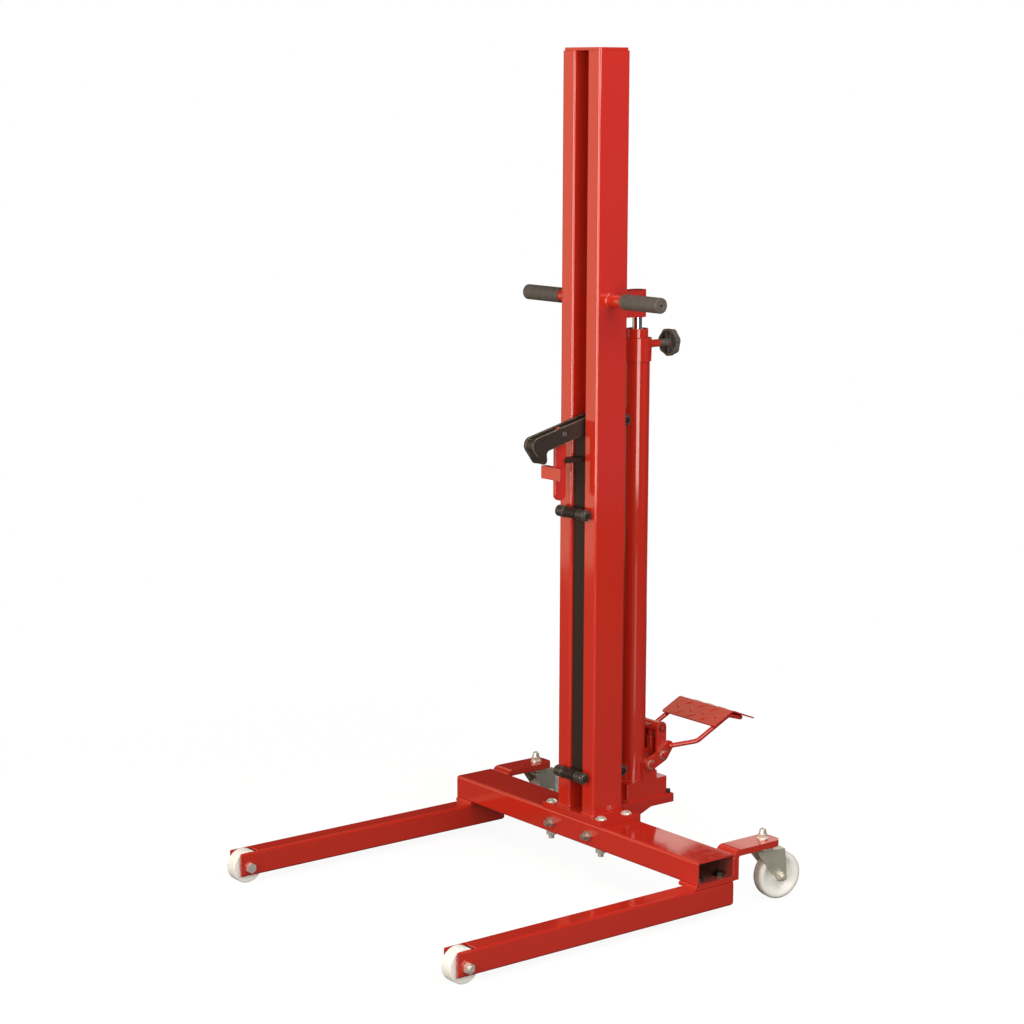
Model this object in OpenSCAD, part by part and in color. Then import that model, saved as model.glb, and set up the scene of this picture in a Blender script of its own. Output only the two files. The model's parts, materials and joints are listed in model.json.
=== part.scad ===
// Drum trolley with a foot pumped hydraulic lift.
// A U-shaped chassis on two front rollers and two rear castors carries a mast of two upright
// tubes. A carriage runs in the slot between them and holds the beak that grips a drum's rim.
// Axes: +X is the trolley's right side, -Y is the front (the drum side), +Z is up.
// Every piece is laid out with Y = 0 on the front face of the cross beam, and is then moved
// by y_shift so that the origin is on the floor, under the middle of the trolley.

/* [Chassis] */
// Width over the two legs, which is the length of the cross beam
overall_w = 788; // [700:2:900]
// Depth of the cross beam, front to rear
beam_d = 98; // [90:1:110]
// Height of the cross beam
beam_h = 50; // [46:1:60]
// Wall of the cross beam tube
beam_wall = 4; // [3:0.5:5]
// Outer corner radius of all the rectangular tubes
tube_corner = 5; // [5:0.5:6]
// Reach of the legs in front of the cross beam
leg_reach = 588; // [500:1:700]
// Width of a leg tube
leg_w = 45; // [44:1:50]
// Height of a leg tube
leg_h = 50; // [48:1:56]
// Wall of a leg tube
leg_wall = 4; // [3:0.5:4.5]
// Thickness of the pad plate between leg and beam
pad_t = 6.5; // [4:0.5:10]
// Width of the pad plate
pad_w = 52; // [48:1:60]
// Distance that the pad plate stands in front of the beam
pad_front = 3; // [0:0.5:5]
// Diameter of the bolts that hold legs, beam and mast together
frame_bolt_d = 12; // [10:1:14]

/* [Front rollers] */
// Diameter of a front roller
roller_d = 68; // [64:1:70]
// Width of a front roller's tread
roller_w = 28; // [26:1:34]
// Distance of the roller axle behind the tip of the leg
roller_setback = 21; // [20:1:30]
// Height of the roller axle above the underside of the leg
axle_rise = 18; // [16:0.5:20]
// Diameter of the roller axle bolt
roller_axle_d = 12; // [10:1:14]

/* [Castors] */
// Diameter of a castor wheel
castor_d = 99; // [90:1:100]
// Width of a castor wheel's tread
castor_w = 28; // [26:1:38]
// Distance of the castor axle behind the kingpin
castor_trail = 35; // [24:0.5:36]
// Height from the floor to the underside of the castor bracket
castor_h = 115; // [115:1:130]
// Angle at which the castors stand, turned about the kingpins
castor_turn = 11; // [-30:1:30]
// Thickness of the fork's sheet
fork_t = 3; // [2.5:0.25:4]
// Diameter of the kingpin bolt
kingpin_d = 12; // [10:1:14]
// Diameter of the castor axle bolt
castor_axle_d = 10; // [8:1:12]
// Width of the castor bracket
bracket_w = 54; // [50:1:60]
// Thickness of the castor bracket
bracket_t = 13; // [8:0.5:14]
// Distance of the kingpin behind the cross beam
kingpin_back = 103; // [100:1:130]
// Length of bracket behind the kingpin
bracket_tail = 29; // [24:1:34]
// Depth of the bracket's upright part below the castor's fixing face
bracket_drop = 48; // [30:1:56]

/* [Mast] */
// Height of the whole trolley, floor to the top of the mast
mast_h = 1702; // [1650:1:1800]
// Width of a mast post
post_w = 38; // [34:1:42]
// Depth of a mast post, front to rear
post_d = 80; // [78:1:90]
// Wall of a mast post
post_wall = 3; // [2.5:0.5:4]
// Width of the slot between the posts
slot_w = 40; // [37:0.5:42]
// Distance from the front of the beam back to the front of the mast
mast_setback = 12; // [8:1:14]
// Thickness of the cap plate on the mast
cap_t = 6; // [4:0.5:8]
// Distance of the cap's edge inside the outline of the posts
cap_inset = 2; // [1:0.5:4]
// Width of the mast foot plate
foot_w = 192; // [180:2:220]
// Thickness of the mast foot plate
foot_t = 12; // [10:0.5:14]
// Distance from the front of the beam back to the front of the foot plate
foot_front = 2; // [0:0.5:4]
// Depth of the foot's flange behind the beam, below the beam's top
foot_drop = 42; // [36:1:45]
// Distance of the foot's upright bolts from the side of the foot plate
foot_bolt_side = 15; // [13:1:18]
// Distance of the foot's upright bolts from the faces of the beam
foot_bolt_end = 15; // [13:1:17]
// Distance of the foot's cross bolts from the middle of the trolley
cross_bolt_x = 60; // [50:1:64]

/* [Handles] */
// Height of the push handles
handle_z = 1202; // [1150:1:1250]
// Distance of the handles behind the front of the mast
handle_back = 36; // [24:1:50]
// Distance from the middle of the trolley to the end of a handle
handle_reach = 210; // [190:1:240]
// Diameter of the handle tube
handle_d = 26; // [22:1:28]
// Wall of the handle tube
handle_wall = 2.5; // [2:0.25:3]
// Outer diameter of a grip
grip_d = 31.5; // [31:0.5:36]
// Length of a grip
grip_l = 112; // [105:1:125]
// Spacing of the rings on a grip
grip_pitch = 5; // [4:0.5:8]

/* [Lift cylinder] */
// Distance of the cylinder's axis behind the mast
cylinder_back = 76; // [74:1:80]
// Outer diameter of the cylinder tube
cylinder_d = 55; // [52:0.5:56]
// Wall of the cylinder tube
cylinder_wall = 3.5; // [3:0.5:5]
// Height of the top of the cylinder head
cylinder_top = 1116; // [1100:1:1130]
// Diameter of the cylinder head
head_d = 61; // [60:0.5:66]
// Height of the cylinder head
head_h = 48; // [40:1:60]
// Diameter of the wiper collar on the head
collar_d = 46; // [40:1:50]
// Height of the wiper collar
collar_h = 19; // [14:1:20]
// Diameter of the ram
ram_d = 20; // [18:0.5:24]
// Length of ram that shows when the lift is down
ram_show = 24; // [20:1:30]
// Length of the piston
piston_h = 40; // [30:1:50]
// Height of the piston above the pump block when the lift is down
piston_rise = 380; // [300:5:400]
// Diameter of the boss on top of the ram
boss_d = 36; // [34:1:38]
// Height of the boss on top of the ram
boss_h = 56; // [50:1:65]
// Height that the lift raises the beak
lift_travel = 450; // [400:5:460]

/* [Release valve] */
// Height of the valve spindle below the top of the cylinder head
valve_drop = 15; // [14:1:22]
// Diameter of the valve's neck
valve_neck_d = 16; // [14:1:18]
// Length of the valve's neck behind the cylinder head
valve_neck_l = 28; // [24:1:36]
// Diameter of the valve spindle
valve_spindle_d = 8; // [6:0.5:10]
// Diameter of the knob over its lobes
knob_d = 58; // [50:1:60]
// Thickness of the knob's rim
knob_t = 11; // [8:1:18]
// Distance of the knob's rim behind the valve's neck
knob_back = 25; // [20:1:30]
// Number of lobes on the knob
knob_lobes = 7; // [5:1:9]

/* [Foot pump] */
// Width of the pump block
block_w = 68; // [66:1:70]
// Length of the pump block, front to rear
block_l = 112; // [108:1:114]
// Height of the pump block
block_h = 38.5; // [34:0.5:44]
// Gap between the mast and the pump block
block_gap = 34; // [30:1:36]
// Width of the pump bracket
outrigger_w = 80; // [80:1:90]
// Sheet thickness of the pump bracket
outrigger_t = 5; // [4:0.5:6]
// Reach of the pump bracket behind the mast
outrigger_l = 160; // [158:1:176]
// Depth of the bracket's side flanges at the rear
flange_h = 19; // [14:1:24]
// Distance behind the mast where the flanges start to deepen
gusset_start = 97; // [80:1:110]
// Depth of the bracket's side flanges at the mast foot
gusset_h = 45; // [38:1:50]
// Thickness of lugs, link plates and pedal side plates
link_t = 6; // [5:0.5:7]
// Distance of the pedal pivot behind the cylinder's axis
pivot_back = 18; // [14:1:20]
// Height of the pedal pivot above the pump block
pivot_rise = 35; // [33:1:40]
// Distance of the link's lower pin behind the pedal pivot
link_pin_back = 35; // [34:0.5:39]
// Height of the link's lower pin above the pedal pivot
link_pin_rise = 15; // [13:0.5:17]
// Length of the links between their pins
link_l = 58; // [56:1:66]
// Diameter of the pump linkage's bolts
pump_bolt_d = 10; // [8:0.5:11]
// Outer diameter of the pump barrel
barrel_d = 19; // [16:0.5:20]
// Diameter of the pump plunger
plunger_d = 12; // [10:0.5:13]
// Diameter of the crosshead tube
crosshead_d = 22; // [18:0.5:24]
// Swing of the pedal in degrees
pedal_swing = 17; // [10:1:18]

/* [Pedal] */
// Width of the tread plate
tread_w = 170; // [150:1:180]
// Distance of the tread plate's front edge behind the pedal pivot
tread_back = 140; // [136:1:150]
// Height of the tread plate's front edge above the pedal pivot
tread_rise = 69; // [64:1:76]
// Distance from the front edge of the tread plate back to its ridge
ridge_back = 53; // [50:1:70]
// Height of the ridge above the front edge
ridge_rise = 25.5; // [22:0.5:32]
// Distance from the ridge back to the rear edge
heel_back = 64; // [50:1:70]
// Height that the rear edge lies below the ridge
heel_drop = 25; // [20:1:32]
// Sheet thickness of the tread plate
tread_t = 3; // [2.5:0.25:4]
// Bending radius of the ridge
ridge_r = 12; // [8:1:16]
// Diameter of the pedal's round bar
bar_d = 10; // [9:0.5:11]
// Distance of the bar's long runs inside the sides of the tread plate
bar_inset = 10; // [8:1:14]

/* [Carriage] */
// Distance of the slider's front face behind the front of the mast
slider_recess = 7; // [5:0.5:9]
// Depth of the slider, front to rear
slider_d = 47.5; // [47:0.5:48]
// Height of the beak's pivot above the floor with the lift down
beak_z = 954; // [940:1:965]
// Distance of the beak's pivot behind the front of the mast
beak_back = 38; // [34:1:38]
// Length of the slider below the beak's pivot
slider_l = 760; // [750:1:765]
// Height of the upper front roller below the beak's pivot
front_roller_drop = 188; // [150:1:240]
// Height of the lower rollers above the bottom of the slider
low_roller_rise = 20; // [18:1:30]
// Diameter of a guide roller
guide_d = 24; // [22:1:26]
// Length of a guide roller
guide_l = 22; // [18:1:26]
// Diameter of a guide roller's shaft
guide_shaft_d = 10; // [8:0.5:12]
// Depth of the lift bar behind the slider
lift_bar_d = 21.5; // [20:0.5:28]
// Height at which the lift bar starts below the beak's pivot
lift_bar_overlap = 250; // [200:5:300]

/* [Beak] */
// Thickness of a beak side plate
beak_t = 6; // [5:0.5:7]
// Width of the beak over its side plates
beak_w = 30; // [28:1:31]
// Depth of the beak's arm
beak_arm_h = 32; // [30:1:34]
// Distance of the beak's nose in front of its pivot
nose_front = 150; // [145:1:156]
// Drop of the beak's nose below its pivot
nose_drop = 40; // [37:1:43]
// Radius of the nose
nose_r = 17; // [16:0.5:17]
// Distance of the hook's tip in front of the pivot
tip_front = 138.5; // [136:0.5:142]
// Drop of the hook's tip centre below the pivot
tip_drop = 70; // [66:1:74]
// Radius of the hook's tip
tip_r = 8.5; // [7:0.5:9]
// Diameter of the beak's pivot pin
beak_pin_d = 14; // [12:0.5:16]
// Distance of the jaw bolt in front of the beak's pivot
jaw_front = 86; // [80:1:90]
// Drop of the jaw bolt below the beak's pivot
jaw_drop = 21; // [15:1:24]
// Diameter of the jaw bolt
jaw_bolt_d = 10; // [8:0.5:12]
// Thickness of the jaw bar
jaw_t = 8; // [6:0.5:10]
// Depth of the jaw bar, front to rear
jaw_d = 26; // [24:1:30]
// Length of the jaw bar below its bolt
jaw_l = 124; // [110:1:140]
// Width of the jaw's pad, which bears under a drum's rim
pad_jaw_w = 60; // [40:1:70]
// Height of the jaw's pad
pad_jaw_h = 26; // [20:1:30]
// Distance of the pad's top below the jaw bolt
pad_jaw_drop = 67; // [64:1:80]
// Distance that the pad stands in front of the jaw bar
pad_jaw_front = 11; // [8:0.5:13]
// Radius of the drum that the pad fits
drum_r = 286; // [270:1:300]
// Angle that the beak opens in degrees
beak_swing = 35; // [20:1:36]

/* [Hidden] */
$fn = 48;

red = [0.78, 0.12, 0.11];
black = [0.13, 0.13, 0.13];
zinc = [0.72, 0.70, 0.66];
white = [0.93, 0.92, 0.86];
chrome = [0.86, 0.87, 0.88];
grip_grey = [0.25, 0.25, 0.25];

fit = 0.05;        // radial clearance of a running fit
gap = 0.3;         // space between flat faces that slide past each other
bolt_slack = 0.25; // radial clearance of a frame bolt in its hole
eps = 1;           // how far a cutting shape runs past the face that it cuts

// Heights of the chassis, from the floor up
leg_z0 = roller_d / 2 - axle_rise;
leg_z1 = leg_z0 + leg_h;
beam_z0 = leg_z1 + pad_t;
beam_z1 = beam_z0 + beam_h;
foot_z1 = beam_z1 + foot_t;
leg_x = (overall_w - leg_w) / 2;
roller_y = -leg_reach + roller_setback;
roller_z = roller_d / 2;
cheek_gap = leg_w - 2 * leg_wall;
leg_bolt_inset = 20;
leg_bolt_y = [leg_bolt_inset, beam_d - leg_bolt_inset];

// Castors
castor_x = (overall_w - bracket_w) / 2;
castor_y = beam_d + kingpin_back;
bracket_z1 = castor_h + bracket_t;
bracket_end = castor_y + bracket_tail;
fork_gap = castor_w + 3;
fork_top = castor_h - 8;
race_d = 46;

// Mast
mast_y0 = mast_setback;
mast_y1 = mast_setback + post_d;
mast_w = 2 * post_w + slot_w;
foot_y1 = beam_d + foot_t;
foot_bolt_x = foot_w / 2 - foot_bolt_side;
foot_bolt_y = [foot_bolt_end, beam_d - foot_bolt_end];
cross_bolt_z = beam_z0 + beam_h / 2;
handle_y = mast_y0 + handle_back;

// Pump bracket, block and lift cylinder
outrigger_z1 = foot_z1 + outrigger_t;
outrigger_y1 = mast_y1 + outrigger_l;
block_y0 = mast_y1 + block_gap;
block_y1 = block_y0 + block_l;
block_z1 = outrigger_z1 + block_h;
cylinder_y = mast_y1 + cylinder_back;
head_z0 = cylinder_top - head_h;
collar_z1 = cylinder_top + collar_h;
boss_z0 = collar_z1 + ram_show;
boss_z1 = boss_z0 + boss_h;
piston_z0 = block_z1 + piston_rise;
bore_d = cylinder_d - 2 * cylinder_wall;
valve_z = cylinder_top - valve_drop;
neck_y1 = cylinder_y + head_d / 2 + valve_neck_l;
block_bolt_d = 6;
block_bolt_x = [-block_w / 2 + 3, block_w / 2 - 3];
block_bolt_y = block_y1 + block_bolt_d;

// Pump linkage: pedal pivot, lower link pin and crosshead, each as [y, z]
pivot = [cylinder_y + pivot_back, block_z1 + pivot_rise];
link_pin = pivot + [link_pin_back, link_pin_rise];
crosshead_y = link_pin[0];
crosshead_pin = [crosshead_y, link_pin[1] + link_l];
lug_x = block_w / 2 - link_t;
lever_x = block_w / 2 + gap;
pin_arm = norm(link_pin - pivot);
pin_angle = atan2(link_pin_rise, link_pin_back);
plunger_travel = pin_arm * (sin(pin_angle) - sin(pin_angle - pedal_swing));
barrel_top = crosshead_pin[1] - crosshead_d / 2 - plunger_travel - 1;
link_lean = asin((link_pin_back - pin_arm * cos(pin_angle - pedal_swing)) / link_l);
link_swing = pedal_swing - link_lean;
lobe_r = pump_bolt_d / 2 + 9.5;
link_r = pump_bolt_d / 2 + 8;

// Tread plate, as [y, z] points on its middle line
tread_front = pivot + [tread_back, tread_rise];
ridge = tread_front + [ridge_back, ridge_rise];
heel = ridge + [heel_back, -heel_drop];
tread_angle = atan2(ridge_rise, ridge_back);
heel_angle = atan2(heel_drop, heel_back);
bar_x = tread_w / 2 - bar_inset;
ridge_lift = ridge_r / cos((tread_angle + heel_angle) / 2);
ridge_lean = (tread_angle - heel_angle) / 2;
ridge_centre = ridge + ridge_lift * [sin(ridge_lean), -cos(ridge_lean)];

// Carriage and beak
slider_y0 = mast_y0 + slider_recess;
slider_y1 = slider_y0 + slider_d;
slider_w = slot_w - 4 * gap;
beak_pivot = [mast_y0 + beak_back, beak_z];
slider_z0 = beak_z - slider_l;
slider_z1 = beak_z - beak_arm_h / 2 - 10;
tongue_w = beak_w - 2 * beak_t - 2 * gap;
nose = beak_pivot + [-nose_front, -nose_drop];
tip = beak_pivot + [-tip_front, -tip_drop];
jaw_pivot = beak_pivot + [-jaw_front, -jaw_drop];
front_roller_y = mast_y0 - gap - guide_d / 2;
rear_roller_y = mast_y1 + gap + guide_d / 2;
upper_front_z = beak_z - front_roller_drop;
lower_front_z = slider_z0 + low_roller_rise;
lug_w = slider_w - 8;
lug_r = guide_shaft_d / 2 + 6;
lift_bar_y1 = slider_y1 + lift_bar_d;
arm_t = 6;

// The finished model stands with the middle of its length over the origin
front_y = roller_y - roller_d / 2;
rear_y = heel[0] + tread_t / 2 * sin(heel_angle);
y_shift = round(-5 * (front_y + rear_y)) / 10;

echo(y_shift = y_shift, overall_l = rear_y - front_y, top = mast_h);
echo(roller_axle = [leg_x, roller_y + y_shift, roller_z]);
echo(kingpin = [castor_x, castor_y + y_shift], castor_z = castor_d / 2);
echo(castor_axle = [castor_x + castor_trail * sin(castor_turn),
                    castor_y + y_shift + castor_trail * cos(castor_turn)]);
echo(cylinder_axis = cylinder_y + y_shift, valve_z = valve_z);
echo(pivot = pivot + [y_shift, 0], link_pin = link_pin + [y_shift, 0]);
echo(crosshead = crosshead_pin + [y_shift, 0], plunger_travel = plunger_travel,
     link_swing = link_swing);
echo(beak_pivot = beak_pivot + [y_shift, 0], jaw_pivot = jaw_pivot + [y_shift, 0]);
echo(front_rollers = [front_roller_y + y_shift, upper_front_z, lower_front_z]);
echo(rear_rollers = [rear_roller_y + y_shift, beak_z, lower_front_z]);

// Basic shapes

// Rectangle with rounded corners, centred
module round_rect(w, h, r) {
    square([w - 2 * r, h], center = true);
    square([w, h - 2 * r], center = true);
    for (sx = [-1, 1], sy = [-1, 1])
        translate([sx * (w / 2 - r), sy * (h / 2 - r)]) circle(r);
}

// Section of a rectangular tube, centred
module tube_section(w, h, wall) {
    difference() {
        round_rect(w, h, tube_corner);
        round_rect(w - 2 * wall, h - 2 * wall, max(tube_corner - wall, 0.8));
    }
}

// Straight strap between two circles a and b of radius ra and rb, all arcs true
module strap(a, b, ra, rb) {
    d = norm(b - a);
    turn = atan2(b[1] - a[1], b[0] - a[0]);
    lean = acos((ra - rb) / d);
    translate(a) circle(ra);
    translate(b) circle(rb);
    polygon([a + ra * [cos(turn + lean), sin(turn + lean)],
             a + ra * [cos(turn - lean), sin(turn - lean)],
             b + rb * [cos(turn - lean), sin(turn - lean)],
             b + rb * [cos(turn + lean), sin(turn + lean)]]);
}

// Extrude an outline of [y, z] points from x0 along +X
module along_x(x0, l) {
    translate([x0, 0, 0]) rotate([90, 0, 90]) linear_extrude(l) children();
}

// Extrude an outline of [x, z] points from y0 along +Y
module along_y(y0, l) {
    translate([0, y0 + l, 0]) rotate([90, 0, 0]) linear_extrude(l) children();
}

// Cylinder along +X from x0, with its axis at [y, z]
module rod_x(x0, l, d, c, sides = 48) {
    translate([x0, c[0], c[1]]) rotate([0, 90, 0]) cylinder(d = d, h = l, $fn = sides);
}

// Cylinder along +Y from y0, with its axis at [x, z]
module rod_y(y0, l, d, c, sides = 48) {
    translate([c[0], y0, c[1]]) rotate([-90, 0, 0]) cylinder(d = d, h = l, $fn = sides);
}

// Direction from point a to point b
function way(a, b) = (b - a) / norm(b - a);

// Angle that a bar turns at point i of its path, and the length that the bend takes there
function turn_at(p, i) = acos(way(p[i - 1], p[i]) * way(p[i], p[i + 1]));
function bend_l(p, i, r) = i == 0 || i == len(p) - 1 ? 0 : r[i] * tan(turn_at(p, i) / 2);

// Round bar along a path p of 3D points, bent with the radius r[i] at point i. The bends are a
// hair thicker than the straights, which run a little way into them
module bent_bar(p, d, r) {
    run_in = 0.5;
    for (i = [0:len(p) - 2]) {
        v = way(p[i], p[i + 1]);
        l0 = i == 0 ? 0 : bend_l(p, i, r) - run_in;
        l1 = i == len(p) - 2 ? 0 : bend_l(p, i + 1, r) - run_in;
        translate(p[i] + v * l0) rotate([0, acos(v[2]), atan2(v[1], v[0])])
            cylinder(d = d, h = norm(p[i + 1] - p[i]) - l0 - l1);
    }
    for (i = [1:len(p) - 2]) {
        a = way(p[i - 1], p[i]);
        b = way(p[i], p[i + 1]);
        n = cross(a, b) / norm(cross(a, b));
        out = cross(a, n);
        c = p[i] - a * bend_l(p, i, r) - out * r[i];
        multmatrix([[out[0], a[0], n[0], c[0]],
                    [out[1], a[1], n[1], c[1]],
                    [out[2], a[2], n[2], c[2]]])
            rotate_extrude(angle = turn_at(p, i)) translate([r[i], 0]) circle(d = d + 0.1, $fn = 32);
    }
}

// Across-corners diameter of a hexagon, from the bolt that it belongs to
function hex_d(bolt_d) = 1.6 * bolt_d / cos(30);

// Bolt up the Z axis: head under z = 0, nut on top of grip, thread end beyond the nut
module bolt(d, grip, head_h = 0.62, nut_h = 0.8, tail = 0.35) {
    translate([0, 0, -head_h * d]) cylinder(d = hex_d(d), h = head_h * d, $fn = 6);
    cylinder(d = d, h = grip + (nut_h + tail) * d);
    translate([0, 0, grip]) cylinder(d = hex_d(d), h = nut_h * d, $fn = 6);
}

// Bolt along +X: the head's seat is at x0 and the nut's seat at x0 + grip
module bolt_x(x0, grip, d, c) {
    translate([x0, c[0], c[1]]) rotate([0, 90, 0]) bolt(d, grip);
}

// Low domed head, its seat at z = 0
module dome_head(d, h) {
    r = (d * d / 4 + h * h) / (2 * h);
    intersection() {
        translate([0, 0, h - r]) sphere(r = r, $fn = 96);
        cylinder(d = 2 * r, h = h);
    }
}

// Moves a piece from the beam's axes to the finished model's axes
module placed() {
    translate([0, y_shift, 0]) children();
}

// The same piece on the left side
module left_side() {
    mirror([1, 0, 0]) children();
}

// Chassis

// Cross beam: open-ended tube with the holes for every frame bolt
module cross_beam() {
    mid = [beam_d / 2, beam_z0 + beam_h / 2];
    hole = frame_bolt_d + 2 * bolt_slack;
    color(red) placed() difference() {
        along_x(-overall_w / 2, overall_w)
            translate(mid) tube_section(beam_d, beam_h, beam_wall);
        for (x = [-leg_x, leg_x], y = leg_bolt_y)
            translate([x, y, beam_z0 - eps]) cylinder(d = hole, h = beam_wall + 2 * eps);
        for (x = [-foot_bolt_x, foot_bolt_x], y = foot_bolt_y)
            translate([x, y, beam_z0 - eps]) cylinder(d = hole, h = beam_h + 2 * eps);
        for (x = [-cross_bolt_x, cross_bolt_x])
            rod_y(-eps, beam_d + 2 * eps, hole, [x, cross_bolt_z]);
    }
}

// Length of a roller notch behind the axle, for a wall at height h from the axle
function notch_back(h) = sqrt(pow(roller_d / 2, 2) - h * h) + 4;

// Right leg: a tube whose front end is notched into two cheeks round the roller
module leg_shape() {
    top_back = notch_back(leg_h - leg_wall - axle_rise);
    low_back = notch_back(axle_rise - leg_wall);
    notch_w = cheek_gap;
    difference() {
        along_y(-leg_reach, leg_reach + beam_d - leg_wall)
            translate([leg_x, leg_z0 + leg_h / 2]) tube_section(leg_w, leg_h, leg_wall);
        translate([leg_x - notch_w / 2, -leg_reach - eps, leg_z0 + leg_h / 2])
            cube([notch_w, roller_setback + top_back + eps, leg_h]);
        translate([leg_x - notch_w / 2, -leg_reach - eps, leg_z0 - leg_h / 2])
            cube([notch_w, roller_setback + low_back + eps, leg_h]);
        rod_x(0, overall_w, roller_axle_d + 2 * fit, [roller_y, roller_z]);
        for (y = leg_bolt_y)
            translate([leg_x, y, leg_z1 - leg_wall - eps])
                cylinder(d = frame_bolt_d + 2 * bolt_slack, h = leg_wall + 2 * eps);
    }
}

module leg_left() {
    color(red) placed() left_side() leg_shape();
}

module leg_right() {
    color(red) placed() leg_shape();
}

// Caps welded on the rear ends of the legs
module leg_end_caps() {
    color(red) placed() for (x = [-leg_x, leg_x])
        along_y(beam_d - leg_wall, leg_wall)
            translate([x, leg_z0 + leg_h / 2]) round_rect(leg_w - 2, leg_h - 2, tube_corner);
}

// Pad plates between the legs and the beam
module leg_pads() {
    color(red) placed() for (side = [-1, 1])
        difference() {
            translate([side * (overall_w - pad_w) / 2 - pad_w / 2, -pad_front, leg_z1])
                cube([pad_w, beam_d + pad_front, pad_t]);
            for (y = leg_bolt_y)
                translate([side * leg_x, y, leg_z1 - eps])
                    cylinder(d = frame_bolt_d + 2 * bolt_slack, h = pad_t + 2 * eps);
        }
}

// Bolts that hold the legs, with their nuts inside the beam
module leg_bolts() {
    color(zinc) placed() for (x = [-leg_x, leg_x], y = leg_bolt_y)
        translate([x, y, leg_z1 - leg_wall])
            bolt(frame_bolt_d, leg_wall + pad_t + beam_wall, nut_h = 0.6, tail = 0.15);
}

// Front rollers

// Roller with rounded shoulders, a dished face and a hub, turned about the X axis
module roller_shape() {
    r = roller_d / 2;
    w = roller_w / 2;
    round_r = 2;
    hub_r = roller_axle_d / 2 + 6;
    translate([leg_x, roller_y, roller_z]) rotate([0, 90, 0]) difference() {
        rotate_extrude($fn = 72) difference() {
            union() {
                translate([0, -w]) square([r - round_r, 2 * w]);
                translate([0, -w + round_r]) square([r, 2 * (w - round_r)]);
                for (s = [-1, 1]) translate([r - round_r, s * (w - round_r)]) circle(round_r);
                translate([0, -cheek_gap / 2 + gap]) square([hub_r, cheek_gap - 2 * gap]);
            }
            for (s = [-1, 1]) translate([hub_r + 5, s * w]) circle(2.5);
            translate([-r, -r]) square([r, 2 * r]);
        }
        translate([0, 0, -leg_w]) cylinder(d = roller_axle_d + 2 * fit, h = 2 * leg_w);
    }
}

module front_roller_left() {
    color(white) placed() left_side() roller_shape();
}

module front_roller_right() {
    color(white) placed() roller_shape();
}

// Axle bolts of the front rollers, nuts to the outside
module front_axles() {
    color(zinc) placed() for (side = [0, 1]) mirror([side, 0, 0])
        bolt_x(leg_x - leg_w / 2, leg_w, roller_axle_d, [roller_y, roller_z]);
}

// Castors

// Bracket: flat bar bent at the top, upright on the beam and flat over the castor
module castor_bracket_shape() {
    bend_r = bracket_t + 4;
    y0 = beam_d;
    nose_r2 = bracket_w / 3;
    difference() {
        intersection() {
            along_x(castor_x - bracket_w / 2, bracket_w) {
                translate([y0, castor_h - bracket_drop])
                    square([bracket_t, bracket_drop + bracket_t - bend_r]);
                translate([y0 + bend_r, castor_h])
                    square([bracket_end - y0 - bend_r, bracket_t]);
                translate([y0 + bend_r, bracket_z1 - bend_r]) intersection() {
                    difference() {
                        circle(bend_r);
                        circle(bend_r - bracket_t);
                    }
                    translate([-bend_r, 0]) square(bend_r);
                }
            }
            translate([castor_x, (y0 + bracket_end) / 2, 0]) linear_extrude(bracket_z1 + eps) {
                round_rect(bracket_w, bracket_end - y0, nose_r2);
                translate([-bracket_w / 2, -(bracket_end - y0) / 2])
                    square([bracket_w, nose_r2 + eps]);
            }
        }
        translate([castor_x, castor_y, castor_h - eps])
            cylinder(d = kingpin_d + 2 * bolt_slack, h = bracket_t + 2 * eps);
    }
}

module castor_bracket_left() {
    color(red) placed() left_side() castor_bracket_shape();
}

module castor_bracket_right() {
    color(red) placed() castor_bracket_shape();
}

// Kingpin bolts with washers and acorn nuts
module kingpins() {
    washer_t = 2.5;
    head_h = 6.5;
    hex_h = 8;
    dome_h = 13.5;
    dome_r = 6.5;
    head_z = fork_top - fork_t - gap - head_h;
    color(zinc) placed() for (side = [-1, 1]) translate([side * castor_x, castor_y, 0]) {
        translate([0, 0, head_z]) cylinder(d = hex_d(kingpin_d), h = head_h, $fn = 6);
        translate([0, 0, head_z]) cylinder(d = kingpin_d, h = bracket_z1 + hex_h - head_z);
        translate([0, 0, bracket_z1]) cylinder(d = 2 * kingpin_d, h = washer_t);
        translate([0, 0, bracket_z1 + washer_t])
            cylinder(d = 0.87 * hex_d(kingpin_d), h = hex_h, $fn = 6);
        translate([0, 0, bracket_z1 + washer_t + hex_h - eps]) {
            cylinder(r1 = 8.2, r2 = dome_r, h = dome_h - dome_r / 2);
            translate([0, 0, dome_h - dome_r / 2 - 0.1]) dome_head(2 * dome_r, dome_r / 2);
        }
    }
}

// Ball races, fixed under the brackets
module castor_races() {
    color(zinc) placed() for (side = [-1, 1]) translate([side * castor_x, castor_y, 0])
        difference() {
            translate([0, 0, fork_top + gap]) rotate_extrude() {
                square([race_d / 2 - 3, castor_h - fork_top - gap]);
                translate([race_d / 2 - 3, (castor_h - fork_top - gap) / 2])
                    circle(r = (castor_h - fork_top - gap) / 2 - 0.4);
            }
            translate([0, 0, fork_top])
                cylinder(d = kingpin_d + 2 * bolt_slack, h = castor_h - fork_top + eps);
        }
}

// Point where the line from p touches the circle of radius r about c, on the given side
function touch(p, c, r, side) =
    let (d = norm(c - p), a = atan2(c[1] - p[1], c[0] - p[0]), b = asin(r / d))
    p + sqrt(d * d - r * r) * [cos(a + side * b), sin(a + side * b)];

// Castor parts stand about the kingpin with the axle at +Y; this turns and places them
module at_castor() {
    placed() translate([castor_x, castor_y, 0]) rotate([0, 0, -castor_turn]) children();
}

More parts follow.
